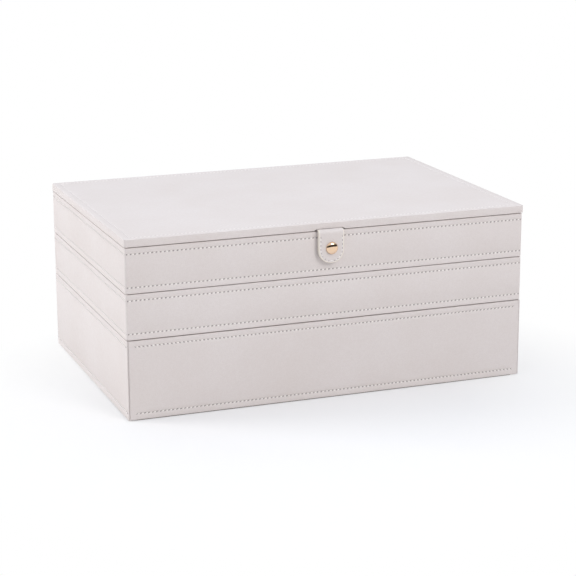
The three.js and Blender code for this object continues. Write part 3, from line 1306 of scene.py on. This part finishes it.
@dataclass
class CaseTier(BoxScene):
    """The fixed bottom tier: a wrapped carcass with rolled lips, its deck, and its felt."""

    body: str = "case"
    wall: float = 5.0
    lip: float = 1.1
    floor: float = 3.2
    floor_corner: float = 1.0
    floor_edge: float = 0.5
    seam_inset: float = 4.9
    corner: float = 1.2
    padding: float = 0.2
    foot: float = 0.35
    deck_edge: float = 0.6
    runner_edge: float = 0.3
    pad_corner: float = 2.0
    pad_edge: float = 0.15
    pad_inset: float = 0.5
    pad_reach: float = 4.8

    def build(self) -> None:
        """Makes the carcass, the deck, the runners and the pad."""
        outer = node_box("case_carcass")
        deck = node_box("case_deck")
        foot = Vector((outer.low.x, -outer.high.y, outer.low.z - self.foot))
        box = Box(foot, outer.high + UP * self.padding)
        carcass = Cover(
            "case", self.body, ("case_carcass",), box, self.corner, wall=self.wall, lip=self.lip,
            lip_reach=deck.low.y - box.low.y,
            side_seams=(outer.low.z + self.seam_inset, outer.high.z - self.seam_inset),
            sewn_sides=frozenset({Side.RIGHT, Side.BACK, Side.LEFT}),
        )
        inset = self.wall - FLOOR_TUCK
        floor = Box(
            Vector((box.low.x + inset, deck.low.y, box.low.z)),
            Vector((box.high.x - inset, box.high.y - inset, box.low.z + self.floor)),
        )
        self.sew(carcass, [slab(floor, self.floor_corner, self.floor_edge)])
        top = softened_copy("case_deck", self.deck_edge, 3)
        finish_piece("case_deck_cover", top, LEATHERETTE, self.body, ("case_deck",))
        for side in ("left", "right"):
            node = f"drawer_runner_{side}"
            strip = softened_copy(node, self.runner_edge)
            finish_piece(f"{node}_felt", strip, FELT, self.body, (node,))
        # The pad reaches to just behind the front in the darker felt, whose painted shade is the dark line
        # under it.
        place = node_box("base_pad").grown(
            (-self.pad_inset, -self.pad_reach, 0), (self.pad_inset, self.pad_inset, -self.pad_edge)
        )
        pad = slab(place, self.pad_corner, self.pad_edge)
        finish_piece("base_pad_felt", pad, SHADED_BASE_FELT, self.body, ("base_pad",))


@dataclass
class Drawer(BoxScene):
    """The drawer: a wrapped, sewn front panel, and a wrapped tray with a velvet liner."""

    body: str = "drawer"
    seam_inset: float = 4.9
    corner: float = 0.5
    edge: float = 0.2
    reach_left: float = 0.83
    reach_right: float = 1.03
    reach_down: float = 0.35
    tray_corner: float = 2.0
    tray_wall: float = 4.0
    tray_floor: float = 3.0

    def build(self) -> None:
        """Makes the front, the tray and what lies in it."""
        self.build_front()
        box = node_box("drawer_tray")
        tray = Cover(
            "drawer_tray", self.body, ("drawer_tray",), box, self.tray_corner,
            wall=self.tray_wall, sewn_sides=frozenset(),
        )
        floor = box.bottom(self.tray_wall - FLOOR_TUCK, self.tray_floor)
        self.sew(tray, [slab(floor, self.tray_corner, 0)])
        Lining(prefix="drawer", body=self.body, cross_dividers=2).build()

    def build_front(self) -> None:
        """Makes the front panel lying on its back, and turns it upright.

        The drawer has come to rest against the right lip, so its slack shows as a dark line at
        the left alone.
        """
        box = node_box("drawer_front").grown(
            (-self.reach_left, 0, -self.reach_down), (self.reach_right, 0, 0)
        )
        size = box.size
        lying = Box(
            Vector((-size.x / 2, -size.z / 2, -size.y)), Vector((size.x / 2, size.z / 2, 0))
        )
        panel = Cover(
            "drawer_front", self.body, ("drawer_front",), lying, self.corner,
            top_seam=self.seam_inset, top_edge=self.edge,
            sewn_sides=frozenset({Side.FRONT, Side.BACK}),
        )
        place = Matrix.Translation((box.middle.x, box.low.y, box.middle.z))
        self.sew(panel, turn=place @ Matrix.Rotation(QUARTER_TURN, 4, "X"))


@dataclass
class StackingTray(BoxScene):
    """A tray that stacks: a wrapped and sewn wall, a floor, and a plug for the rim below."""

    prefix: str = ""
    wall: float = 5.0
    floor: float = 3.0
    floor_edge: float = 0.2
    plug_depth: float = 2.5
    plug_inset: float = 5.5
    plug_edge: float = 0.4
    floor_corner: float = 2.0
    corner: float = 1.7
    seam_inset: float = 4.9
    bottom_slit: float = 0.15
    top_slit: float = 0.1

    @property
    def body(self) -> str:
        """The body that it rides on, and the name of its CAD node."""
        return f"{self.prefix}_tray"

    def build_wall(self, cutters: Iterable[BMesh] = ()) -> None:
        """Makes the wall, and the floor and the plug that belong to the same piece.

        Args:
            cutters: Meshes that are cut out of it.
        """
        whole = node_box(self.body)
        box = whole.grown((0, 0, self.plug_depth + self.bottom_slit), (0, 0, -self.top_slit))
        wall = Cover(
            self.body, self.body, (self.body,), box, self.corner, wall=self.wall,
            side_seams=(box.low.z + self.seam_inset, box.high.z - self.seam_inset),
        )
        floor = box.bottom(self.wall - FLOOR_TUCK, self.floor)
        plug = whole.bottom(self.plug_inset, self.plug_depth + FLOOR_TUCK)
        parts = [
            slab(floor, self.floor_corner, self.floor_edge),
            slab(plug, self.floor_corner, self.plug_edge),
        ]
        self.sew(wall, parts, cutters)


@dataclass
class MiddleTray(StackingTray):
    """The middle tray, with eight equal compartments."""

    prefix: str = "middle"
    plug_inset: float = 12.5
    bottom_slit: float = 0.4

    def build(self) -> None:
        """Makes the tray and what lies in it."""
        self.build_wall()
        Lining(prefix=self.prefix, body=self.body, long_dividers=1, cross_dividers=3).build()


@dataclass(frozen=True)
class RingRoll:
    """One soft roll: a foam bar with a half-round top, wrapped in velvet.

    Its sides are flattened by its neighbours, its ends are drawn in, and it sways a little.
    """

    box: Box
    phase: float
    columns: int = 40
    rows: int = 28
    even_share: float = 0.35
    end_share: float = 0.35
    end_width: float = 0.78
    end_height: float = 0.9
    slack: float = 0.15
    top_power: float = 0.85
    side_power: float = 0.35
    sway: float = 0.06
    sways: int = 3
    droop: float = 0.02
    ripple: float = 0.01
    ripple_turn: float = 9.0

    def point(self, i: int, j: int) -> Vector:
        """Finds a point of the roll.

        Args:
            i: Its column, along the roll.
            j: Its row, round the roll.

        Returns:
            The point.
        """
        box, half = self.box, self.box.size / 2
        along = i / (self.columns - 1)
        ease = 0.5 - 0.5 * math.cos(math.pi * along)
        share = self.even_share * along + (1 - self.even_share) * ease
        x = box.low.x + box.size.x * share
        near = min(x - box.low.x, box.high.x - x)
        bend = max(0.0, 1 - near / (self.end_share * half.y))
        full = self.end_width + (1 - self.end_width) * math.sqrt(max(0.0, 1 - bend**2))
        angle = 2 * math.pi * j / self.rows
        power = self.top_power if math.sin(angle) > 0 else self.side_power
        across = math.copysign(abs(math.cos(angle)) ** power, math.cos(angle))
        rise = math.copysign(abs(math.sin(angle)) ** power, math.sin(angle))
        y = box.middle.y + (half.y - self.slack) * across * full
        y += self.sway * math.sin(2 * math.pi * self.sways * along + self.phase)
        if rise > 0:
            rise *= self.end_height + (1 - self.end_height) * full
            rise += self.ripple * math.sin(self.ripple_turn * along + self.phase) - self.droop
        return Vector((x, y, box.middle.z + half.z * rise))

    def mesh(self) -> BMesh:
        """Makes the roll.

        Returns:
            The mesh.
        """
        bm, _ = bent_grid(self.columns, self.rows, self.point, around=False)
        close_holes(bm)
        return bm


@dataclass
class TopTray(StackingTray):
    """The top tray, with ring rolls in its front left compartment."""

    prefix: str = "top"
    top_slit: float = 0.2
    roll_count: int = 8

    def build(self) -> None:
        """Makes the tray and what lies in it."""
        self.build_wall([leaf_pocket(side, below=True) for side in ("left", "right")])
        Lining(
            prefix=self.prefix, body=self.body, long_dividers=1, cross_dividers=2,
            skipped=frozenset({(0, 0)}),
        ).build()
        for number in range(1, self.roll_count + 1):
            node = f"ring_roll_{number}"
            shape = RingRoll(node_box(node), self.chance.uniform(0, 2 * math.pi))
            roll = finish_piece(f"{node}_velvet", shape.mesh(), VELVET, self.body, (node,))


def leaf_pocket(
    side: str, below: bool, leaf_thickness: float = 0.8, overrun: float = 4.0
) -> BMesh:
    """Makes the room that one hinge leaf is let into.

    Args:
        side: The hinge, left or right.
        below: Whether it is in the tray's rim, and not in the lid above it.
        leaf_thickness: How thick the leaf is.
        overrun: How far the room goes past the edges that it opens.

    Returns:
        The room's mesh.
    """
    leaf = node_box(f"{'tray' if below else 'lid'}_hinge_leaf_{side}")
    rim = node_box("top_tray").high.z
    if below:
        low, high = rim - leaf_thickness - SEAT_GAP, rim + overrun
    else:
        low = rim + TIER_GAP - overrun
        high = leaf.middle.z + TIER_GAP / 2 + leaf_thickness + SEAT_GAP
    room = Box(
        Vector((leaf.low.x - SEAT_GAP, leaf.low.y - SEAT_GAP, low)),
        Vector((leaf.high.x + SEAT_GAP, leaf.high.y + overrun, high)),
    )
    return block(room)


@dataclass
class Lid(BoxScene):
    """The lid: a wrapped board with a faint seam, a velvet frame, a mirror and the tab's tongue."""

    body: str = "lid"
    corner: float = 2.0
    top_edge: float = 0.3
    tuck: float = 0.4
    tuck_left: float = 0.7
    tuck_right: float = 0.35
    slit: float = 0.1
    crown: float = 0.2
    seam_inset: float = 6.4
    relief_slope: float = 2.4
    relief_depth: float = 1.0
    relief_overrun: float = 2.0
    panel_edge: float = 0.7
    tongue_edge: float = 0.4
    mirror_corner: float = 5.0
    mirror_edge: float = 0.15
    mirror_bevel: float = 4.0
    bevel_height: float = 0.5

    def build(self) -> None:
        """Makes the board and what is fixed under it."""
        box = node_box("lid_board").grown(
            (self.tuck_left, self.tuck, self.slit), (-self.tuck_right, -self.tuck, self.crown)
        )
        board = Cover(
            "lid", self.body, ("lid_board",), box, self.corner, stitching=LID_STITCHING,
            top_edge=self.top_edge, top_seam=self.seam_inset,
        )
        pockets = [leaf_pocket(side, below=False) for side in ("left", "right")]
        self.sew(board, cutters=[*pockets, self.tongue_relief(box)])
        panel = softened_copy("lid_panel", self.panel_edge, 3)
        finish_piece("lid_panel_velvet", panel, VELVET, self.body, ("lid_panel",))
        self.build_mirror()
        tongue = softened_copy("tab_tongue", self.tongue_edge)
        finish_piece("tab_tongue_leather", tongue, LEATHERETTE, self.body, ("tab_tongue",))

    def tongue_relief(self, lid: Box) -> BMesh:
        """Makes the hollow under the lid's front edge that the tongue lies in.

        Args:
            lid: The place of the lid's board.

        Returns:
            The hollow's mesh, with sloped ends.
        """
        tongue = node_box("tab_tongue")
        low = lid.low.z - self.relief_depth
        top = tongue.high.z + SEAT_GAP
        room = Box(
            Vector((tongue.low.x - SEAT_GAP, lid.low.y - self.relief_overrun, low)),
            Vector((tongue.high.x + SEAT_GAP, tongue.high.y + SEAT_GAP, top)),
        )
        bm = block(room)
        spread = self.relief_slope * (top - low) / (top - lid.low.z)
        for vert in bm.verts:
            if vert.co.z < room.middle.z:
                vert.co.x += math.copysign(spread, vert.co.x - room.middle.x)
        bmesh.ops.recalc_face_normals(bm, faces=bm.faces)
        return bm

    def build_mirror(self) -> None:
        """Makes the mirror, with a ground bevel round its face that keeps within its corners."""
        box = node_box("lid_mirror")
        bm = slab(box, self.mirror_corner, self.mirror_edge)
        face = min(bm.faces, key=lambda f: f.calc_center_median().z)
        bmesh.ops.inset_region(
            bm, faces=[face], thickness=self.mirror_bevel, use_even_offset=True
        )
        below = box.low.z + 2 * self.mirror_edge
        for vert in {v for v in bm.verts if v.co.z < below} - set(face.verts):
            vert.co.z += self.bevel_height
        finish_piece("lid_mirror_glass", bm, MIRROR, self.body, ("lid_mirror",), smooth_angle=1)


@dataclass
class ClosureTab(BoxScene):
    """The leather tab: two layers, sewn round the edge and painted on the cut edge.

    It is laid out flat as distances across and along it, and bent over the lid's edge. The snap's
    room is the profile of the hollow that the socket and the cap's post stand in.
    """

    body: str = "tab"
    thickness: float = 4.0
    root_thickness: float = 0.9
    stand_off: float = 0.2
    edge: float = 0.9
    edge_steps: int = 3
    seam_inset: float = 1.65
    seam_start: float = 1.2
    rung_inset: float = 0.8
    bend_steps: int = 10
    bend_power: float = 0.7
    blend_share: float = 1.05
    snap_room: Profile = ((0, -3), (4.3, -3), (4.3, 2.0), (1.6, 2.0), (1.6, 4.5), (0, 4.5))
    half: float = field(init=False)
    root: Vector = field(init=False)
    outer_bend: float = field(init=False)
    bend_length: float = field(init=False)
    hang: float = field(init=False)
    straight: float = field(init=False)
    stations: list[tuple[float, float]] = field(init=False)
    lines: list[tuple[float, float, float]] = field(init=False)
    first_hole: int = field(init=False)

    def __post_init__(self) -> None:
        """Takes the measures from the CAD node and lays out the points."""
        box = node_box("closure_tab")
        self.half = box.size.x / 2
        self.root = Vector((box.middle.x, box.high.y, box.high.z))
        self.outer_bend = box.high.y - box.low.y
        self.bend_length = self.outer_bend * QUARTER_TURN
        self.hang = self.root.z - self.outer_bend - box.low.z
        self.straight = self.bend_length + self.hang - self.half
        self.stations = self.walk()
        self.lines = list(self.section())
        seam_start = self.bend_length + self.seam_start
        self.first_hole = next(
            k for k, (along, _) in enumerate(self.stations) if along > seam_start
        )

    def build(self) -> None:
        """Makes the flap and its thread, and blends the flap over the bend."""
        flap = finish_piece(
            "closure_tab_leather", self.flap(), [LEATHERETTE, EDGE_PAINT], None, ("closure_tab",)
        )
        finish_piece("closure_tab_stitching", self.thread(), THREAD, self.body)
        start = self.root * MM
        end = self.place(0, self.bend_length * self.blend_share, 1.0) * MM
        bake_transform(flap, "lid", "tab", start=start, end=end)

    def place(self, across: float, along: float, layer: float) -> Vector:
        """Finds a point of the tab.

        Args:
            across: The distance from its middle line, to the right.
            along: The distance from its root, along its front.
            layer: 0 on its back and 1 on its front.

        Returns:
            The point in the box's own axes.
        """
        bend = min(along / self.bend_length, 1) * QUARTER_TURN
        fall = max(0.0, along - self.bend_length)
        share = fall / self.hang
        root = self.root
        ahead = math.sin(bend) ** self.bend_power
        drop = 1 - max(0.0, math.cos(bend)) ** self.bend_power
        outer_z = root.z - self.outer_bend * drop - fall
        outer = Vector((0, root.y - self.outer_bend * ahead, outer_z))
        inner_z = root.z - self.root_thickness - self.stand_off * drop - fall
        inner_z += (outer.z - inner_z) * (1 - (1 - share) ** 2)
        inner = Vector((0, root.y - self.stand_off * ahead, inner_z))
        point = inner.lerp(outer, layer)
        point.x = root.x + across
        return point

    def walk(self) -> list[tuple[float, float]]:
        """Walks round the tab, down its left side, round its end and up its right side.

        Returns:
            For each station, the straight length gone and the angle turned on the round end.
        """
        pitch = TAB_STITCHING.pitch / TAB_STITCHING.columns
        side = round((self.straight - self.bend_length) / pitch)
        round_length = (self.half - self.seam_inset) * math.pi
        columns = TAB_STITCHING.columns
        round_end = columns * round(round_length / pitch / columns) + 1
        below = self.straight - self.bend_length
        down = [(self.bend_length * k / self.bend_steps, 0.0) for k in range(self.bend_steps)]
        down += [(self.bend_length + below * k / side, 0.0) for k in range(side)]
        turns = [(self.straight, math.pi * k / round_end) for k in range(round_end + 1)]
        up = [(along, math.pi) for along, _ in reversed(down)]
        return down + turns + up

    def section(self) -> Iterator[tuple[float, float, float]]:
        """Goes across the tab from its back to its front.

        Yields:
            For each line, its distance from the edge, its layer and how much it is pulled.
        """
        width = TAB_STITCHING.channel
        innermost = self.seam_inset + width + self.rung_inset
        depth = self.edge / self.thickness
        yield innermost, 0.0, 0.0
        for a in quarter_steps(self.edge_steps):
            yield self.edge * (1 - math.sin(a)), depth * (1 - math.cos(a)), 0.0
        for a in quarter_steps(self.edge_steps):
            yield self.edge * (1 - math.cos(a)), 1 - depth * (1 - math.sin(a)), 0.0
        for step, pull in CHANNEL_SECTION:
            yield self.seam_inset + step * width, 1.0, pull
        yield innermost, 1.0, 0.0

    def is_hole(self, i: int) -> bool:
        """Whether a needle hole is at a station."""
        number = min(i, len(self.stations) - 1 - i) - self.first_hole
        return number >= 0 and number % TAB_STITCHING.columns == 0

    def seam_point(self, i: int, inset: float, layer: float, sunk: float) -> Vector:
        """Finds a point at a station.

        Args:
            i: The station's number.
            inset: The distance from the edge.
            layer: 0 on the back and 1 on the front.
            sunk: How far it is sunk towards the tray.

        Returns:
            The point.
        """
        along, turn = self.stations[i]
        radius = self.half - inset
        point = self.place(-radius * math.cos(turn), along + radius * math.sin(turn), layer)
        return point + Vector((0, sunk, 0))

    def point(self, i: int, j: int) -> Vector:
        """Finds where a line passes a station.

        Args:
            i: The station's number.
            j: The line's number.

        Returns:
            The point.
        """
        inset, layer, pull = self.lines[j]
        sunk = pull * TAB_STITCHING.pull if self.stations[i][0] > self.bend_length else 0.0
        if pull == 1 and self.is_hole(i):
            sunk += TAB_STITCHING.hole
        return self.seam_point(i, inset, layer, sunk)

    def flap(self) -> BMesh:
        """Makes the flap as lines that follow its outline, closed by rungs in the middle.

        Returns:
            The mesh, with its painted edge and its needle holes marked.
        """
        count, rows = len(self.stations), len(self.lines)
        bm, points = bent_grid(count, rows, self.point, around=False, closed_rows=False)
        hole_shade = bm.verts.layers.float[NEEDLE]
        # Needle holes get full painted shade.
        for (i, j), vert in points.items():
            if self.lines[j][2] == 1 and self.is_hole(i):
                vert[hole_shade] = 1.0
        painted = range(1, 2 * (self.edge_steps + 1) + 1)
        edge_points = {points[(i, j)] for i in range(count) for j in painted}
        for face in bm.faces:
            if all(v in edge_points for v in face.verts):
                face.material_index = 1
        last = count - 1
        for j in (0, rows - 1):
            for k in range(last // 2):
                if k + 1 < last - k - 1:
                    corners = [points[(n, j)] for n in (k, k + 1, last - k - 1, last - k)]
                    bmesh.ops.contextual_create(bm, geom=corners, mat_nr=0)
        close_holes(bm)
        socket, cap = node_box("snap_socket"), node_box("snap_cap")
        centre = Vector((cap.middle.x, socket.high.y, cap.middle.z))
        return carve(bm, turned(self.snap_room, centre, FORWARD, steps=40))

    def thread(self) -> BMesh:
        """Makes the thread of the seam round the flap.

        Returns:
            The mesh.
        """
        bm = bmesh.new()
        sunk = -TAB_STITCHING.lift
        holes = [i for i in range(len(self.stations)) if self.is_hole(i)]
        for pair in zip(holes, holes[1:]):
            start, end = (self.seam_point(i, self.seam_inset, 1.0, sunk) for i in pair)
            if (end - start).length < 2 * TAB_STITCHING.pitch:
                TAB_STITCHING.add_thread(bm, start, end, FORWARD, self.chance)
        return bm


@dataclass
class Snap(BoxScene):
    """The press fastener: a domed cap with its post, the socket behind it, and the tray's stud.

    A profile is pairs of radius and distance along the axis. The cap's back has insets from its
    rim in place of radii, and the bulb's distances are counted back from the stud's tip.
    """

    cap_height: float = 2.3
    cap_back: Profile = ((0.4, -0.3), (0.1, -0.1), (0.0, 0.2))
    post_radius: float = 1.3
    post_foot: float = -0.3
    dome_start: float = 0.42
    dome_share: float = 0.985
    dome_steps: int = 14
    cap_steps: int = 64
    cup: Profile = (
        (0, 1.2), (2.4, 1.2), (2.4, 0.2), (2.6, 0), (3.8, 0), (4.0, 0.2), (4.0, 1.5), (3.8, 1.7),
        (0, 1.7),
    )
    shank: float = 3.0
    shank_radius: float = 1.2
    flange: Profile = ((3.7, 0), (3.9, 0.12), (3.8, 0.3), (3.4, 0.35), (1.5, 0.4))
    bulb: Profile = ((1.5, 0.9), (1.7, 0.7), (1.8, 0.4), (1.7, 0.15), (1.4, 0), (0, 0))
    smooth_angle: float = 30

    def build(self) -> None:
        """Makes the cap, the socket and the stud."""
        finish_piece("snap_cap_gold", self.cap(), GOLD, "tab", ("snap_cap",))
        socket = node_box("snap_socket")
        back = Vector((socket.middle.x, socket.high.y, socket.middle.z))
        cup = turned(self.cup, back, FORWARD)
        angle = self.smooth_angle
        finish_piece("snap_socket_gold", cup, GOLD, "tab", ("snap_socket",), angle)
        finish_piece("snap_stud_gold", self.stud(), GOLD, "top_tray", ("snap_stud",), angle)

    def cap(self) -> BMesh:
        """Makes the domed cap and its post.

        Returns:
            The mesh.
        """
        box = node_box("snap_cap")
        radius = box.size.x / 2
        seat = Vector((box.middle.x, box.low.y + self.cap_height, box.middle.z))
        post = box.high.y - seat.y
        profile = [(0, -post), (self.post_radius, -post), (self.post_radius, self.post_foot)]
        profile += [(radius - inset, along) for inset, along in self.cap_back]
        dome = self.cap_height - self.dome_start
        for a in quarter_steps(self.dome_steps):
            along = self.dome_start + dome * math.sin(a)
            profile.append((radius * self.dome_share * math.cos(a), along))
        profile[-1] = (0, profile[-1][1])
        return turned(profile, seat, FORWARD, self.cap_steps)

    def stud(self) -> BMesh:
        """Makes the stud, from the end of its shank to the tip of its bulb.

        Returns:
            The mesh.
        """
        box = node_box("snap_stud")
        base = Vector((box.middle.x, box.high.y - self.shank, box.middle.z))
        tip = base.y - box.low.y
        profile = [(0, -self.shank), (self.shank_radius, -self.shank), (self.shank_radius, 0)]
        profile += [*self.flange, *((radius, tip - back) for radius, back in self.bulb)]
        return turned(profile, base, FORWARD)


@dataclass
class Hinges(BoxScene):
    """The two five-knuckle hinges, with plain leaves and headed pins."""

    edge: float = 0.12
    smooth_angle: float = 35

    def build(self) -> None:
        """Makes the leaves and the pins with softened edges."""
        for side in ("left", "right"):
            for kind, body in (
                ("tray_hinge_leaf", "top_tray"),
                ("lid_hinge_leaf", "lid"),
                ("hinge_pin", "top_tray"),
            ):
                node = f"{kind}_{side}"
                shape = softened_copy(node, self.edge)
                finish_piece(f"{node}_gold", shape, GOLD, body, (node,), self.smooth_angle)


# The setting


@dataclass(frozen=True)
class Lamp:
    """A plain softbox: where it stands, how wide it is, and how bright and which colour."""

    name: str
    place: Place
    width: float
    power: float
    colour: str

    def build(self, target: Vector) -> None:
        """Hangs the lamp.

        Args:
            target: Where it points.
        """
        light = bpy.data.lights.new(self.name, "AREA")
        light.shape = "SQUARE"
        light.size = self.width
        light.energy = self.power
        light.color = linear(self.colour)[:3]
        lamp = bpy.data.objects.new(self.name, light)
        lamp.location = self.place
        lamp.rotation_euler = (target - Vector(self.place)).to_track_quat("-Z", "Y").to_euler()
        bpy.context.scene.collection.objects.link(lamp)


@dataclass(frozen=True)
class Studio:
    """A pale floor, a plain room and soft lamps, with the camera at the photograph's place.

    The floor fades to plain white between two distances from the middle of its shade. The room's
    light fades from its ceiling to its walls between two heights. Metres, except for the camera.
    """

    floor_size: float = 24.0
    floor_cells: int = 24
    sky: float = 1.165
    sky_tint: str = "#F1F7FF"
    white: str = "#FFFFFF"
    wall_light: float = 0.04
    wall_to: float = 0.26
    ceiling_from: float = 0.6
    floor_glow: float = 0.18
    shade_place: Place = (-0.02, -0.13, 0.0)
    plain_from: float = 0.12
    plain_to: float = 0.32
    floor_shade: str = "#D8D7D7"
    floor_bounce: str = "#DEDBD9"
    focal_pixels: float = 1846.0
    picture_width: float = 576
    sensor: float = 36.0
    clip_end: float = 100.0
    camera_place: Place = (-534.5, -1438.4, 470.7)
    turn: float = 20.611
    tilt: float = 14.869
    roll: float = -0.176
    lamp_target: Place = (0, 0, 0.07)
    lamps: tuple[Lamp, ...] = (
        Lamp("key_lamp", (-3.4, 1.45, 1.5), 1.6, 73.5, "#FFFDFB"),
        Lamp("front_lamp", (0.9, -2.5, 1.75), 1.0, 28, "#FFF9F4"),
    )

    def build(self) -> None:
        """Makes the floor, the room, the lamps and the camera."""
        self.build_floor()
        self.build_sky()
        for lamp in self.lamps:
            lamp.build(Vector(self.lamp_target))
        self.build_camera()
        bpy.context.scene.view_settings.view_transform = "Standard"

    def seen(self, tree: Tree) -> Socket:
        """Adds what tells the rays that see the background from the light that bounces.

        Args:
            tree: The tree.

        Returns:
            1 for a camera, glossy or transmission ray, and 0 for another.
        """
        path = add_node(tree, "LightPath").outputs
        glossy = add_node(
            tree, "Math", {0: path["Is Camera Ray"], 1: path["Is Glossy Ray"]},
            operation="MAXIMUM",
        )
        seen = add_node(
            tree, "Math", {0: glossy.outputs[0], 1: path["Is Transmission Ray"]},
            operation="MAXIMUM",
        )
        return seen.outputs[0]

    def build_floor(self) -> None:
        """Makes a wide pale floor: plain white, with the object's soft shade near it."""
        bm = bmesh.new()
        cells = self.floor_cells
        bmesh.ops.create_grid(bm, x_segments=cells, y_segments=cells, size=self.floor_size / 2)
        mesh = bpy.data.meshes.new("floor")
        bm.to_mesh(mesh)
        bm.free()
        floor = bpy.data.objects.new("floor", mesh)
        bpy.context.scene.collection.objects.link(floor)
        mesh.materials.append(self.floor_paper())

    def floor_paper(self) -> bpy.types.Material:
        """Makes the floor's paper.

        Returns:
            The material.
        """
        material = bpy.data.materials.new("pale_studio_paper")
        material.use_nodes = True
        tree = material.node_tree
        tree.nodes.clear()
        place = add_node(tree, "TexCoord").outputs["Object"]
        distance = add_node(
            tree, "VectorMath", {0: place, 1: self.shade_place}, operation="DISTANCE"
        )
        far = add_node(
            tree, "MapRange",
            {
                "Value": distance.outputs["Value"], "From Min": self.plain_from,
                "From Max": self.plain_to,
            },
            clamp=True,
        )
        glow = add_node(tree, "Emission", {"Strength": self.floor_glow})
        shade = add_node(tree, "BsdfDiffuse", {"Color": linear(self.floor_shade)})
        lit = add_node(tree, "AddShader", {0: glow.outputs[0], 1: shade.outputs[0]})
        white = add_node(tree, "Emission", {"Strength": 1.0})
        plain = add_node(
            tree, "MixShader",
            {"Fac": far.outputs["Result"], 1: lit.outputs[0], 2: white.outputs[0]},
        )
        bounce = add_node(tree, "BsdfDiffuse", {"Color": linear(self.floor_bounce)})
        both = add_node(
            tree, "MixShader",
            {"Fac": self.seen(tree), 1: bounce.outputs[0], 2: plain.outputs[0]},
        )
        add_node(tree, "OutputMaterial", {"Surface": both.outputs[0]})
        return material

    def build_sky(self) -> None:
        """Makes the room: plain white where it is seen, and a cooler light with dim walls."""
        world = bpy.data.worlds.new("white_room")
        bpy.context.scene.world = world
        world.use_nodes = True
        tree = world.node_tree
        tree.nodes.clear()
        seen = self.seen(tree)
        way = add_node(tree, "SeparateXYZ", {0: add_node(tree, "TexCoord").outputs["Generated"]})
        height = add_node(
            tree, "MapRange",
            {
                "Value": way.outputs["Z"], "From Min": self.wall_to,
                "From Max": self.ceiling_from, "To Min": self.wall_light,
            },
            clamp=True,
        )
        camera = add_node(tree, "LightPath").outputs["Is Camera Ray"]
        room = add_node(
            tree, "Math", {0: height.outputs["Result"], 1: camera}, operation="MAXIMUM"
        )
        level = add_node(tree, "MapRange", {"Value": seen, "To Min": self.sky, "To Max": 1.0})
        strength = add_node(
            tree, "Math", {0: room.outputs[0], 1: level.outputs["Result"]}, operation="MULTIPLY"
        )
        tint = add_node(
            tree, "Mix", {"Factor": seen, 6: linear(self.sky_tint), 7: linear(self.white)},
            data_type="RGBA",
        )
        sky = add_node(
            tree, "Background", {"Color": tint.outputs[2], "Strength": strength.outputs[0]}
        )
        add_node(tree, "OutputWorld", {"Surface": sky.outputs[0]})

    def build_camera(self) -> None:
        """Stands the camera at the photograph's place and angle."""
        camera = bpy.data.cameras.new("camera")
        camera.sensor_width = self.sensor
        camera.lens = self.sensor * self.focal_pixels / self.picture_width
        camera.clip_end = self.clip_end
        turn, tilt, roll = (math.radians(v) for v in (self.turn, self.tilt, self.roll))
        level_reach = math.cos(tilt)
        ahead = Vector(
            (math.sin(turn) * level_reach, math.cos(turn) * level_reach, -math.sin(tilt))
        )
        level = Vector((math.cos(turn), -math.sin(turn), 0))
        above = level.cross(ahead)
        right = level * math.cos(roll) + above * math.sin(roll)
        top = above * math.cos(roll) - level * math.sin(roll)
        holder = bpy.data.objects.new("camera", camera)
        facing = Matrix((right, top, -ahead)).transposed().to_4x4()
        holder.matrix_world = Matrix.Translation(Vector(self.camera_place) * MM) @ facing
        bpy.context.scene.collection.objects.link(holder)
        bpy.context.scene.camera = holder


def main() -> None:
    """Builds the setting and every sub-assembly."""
    logging.basicConfig(level=logging.INFO, format="%(message)s")
    for part in (
        Studio(), CaseTier(), Drawer(), MiddleTray(), TopTray(), Lid(), ClosureTab(), Snap(),
        Hinges(),
    ):
        LOG.info("Building %s", type(part).__name__)
        part.build()


if __name__ == "__main__":
    main()
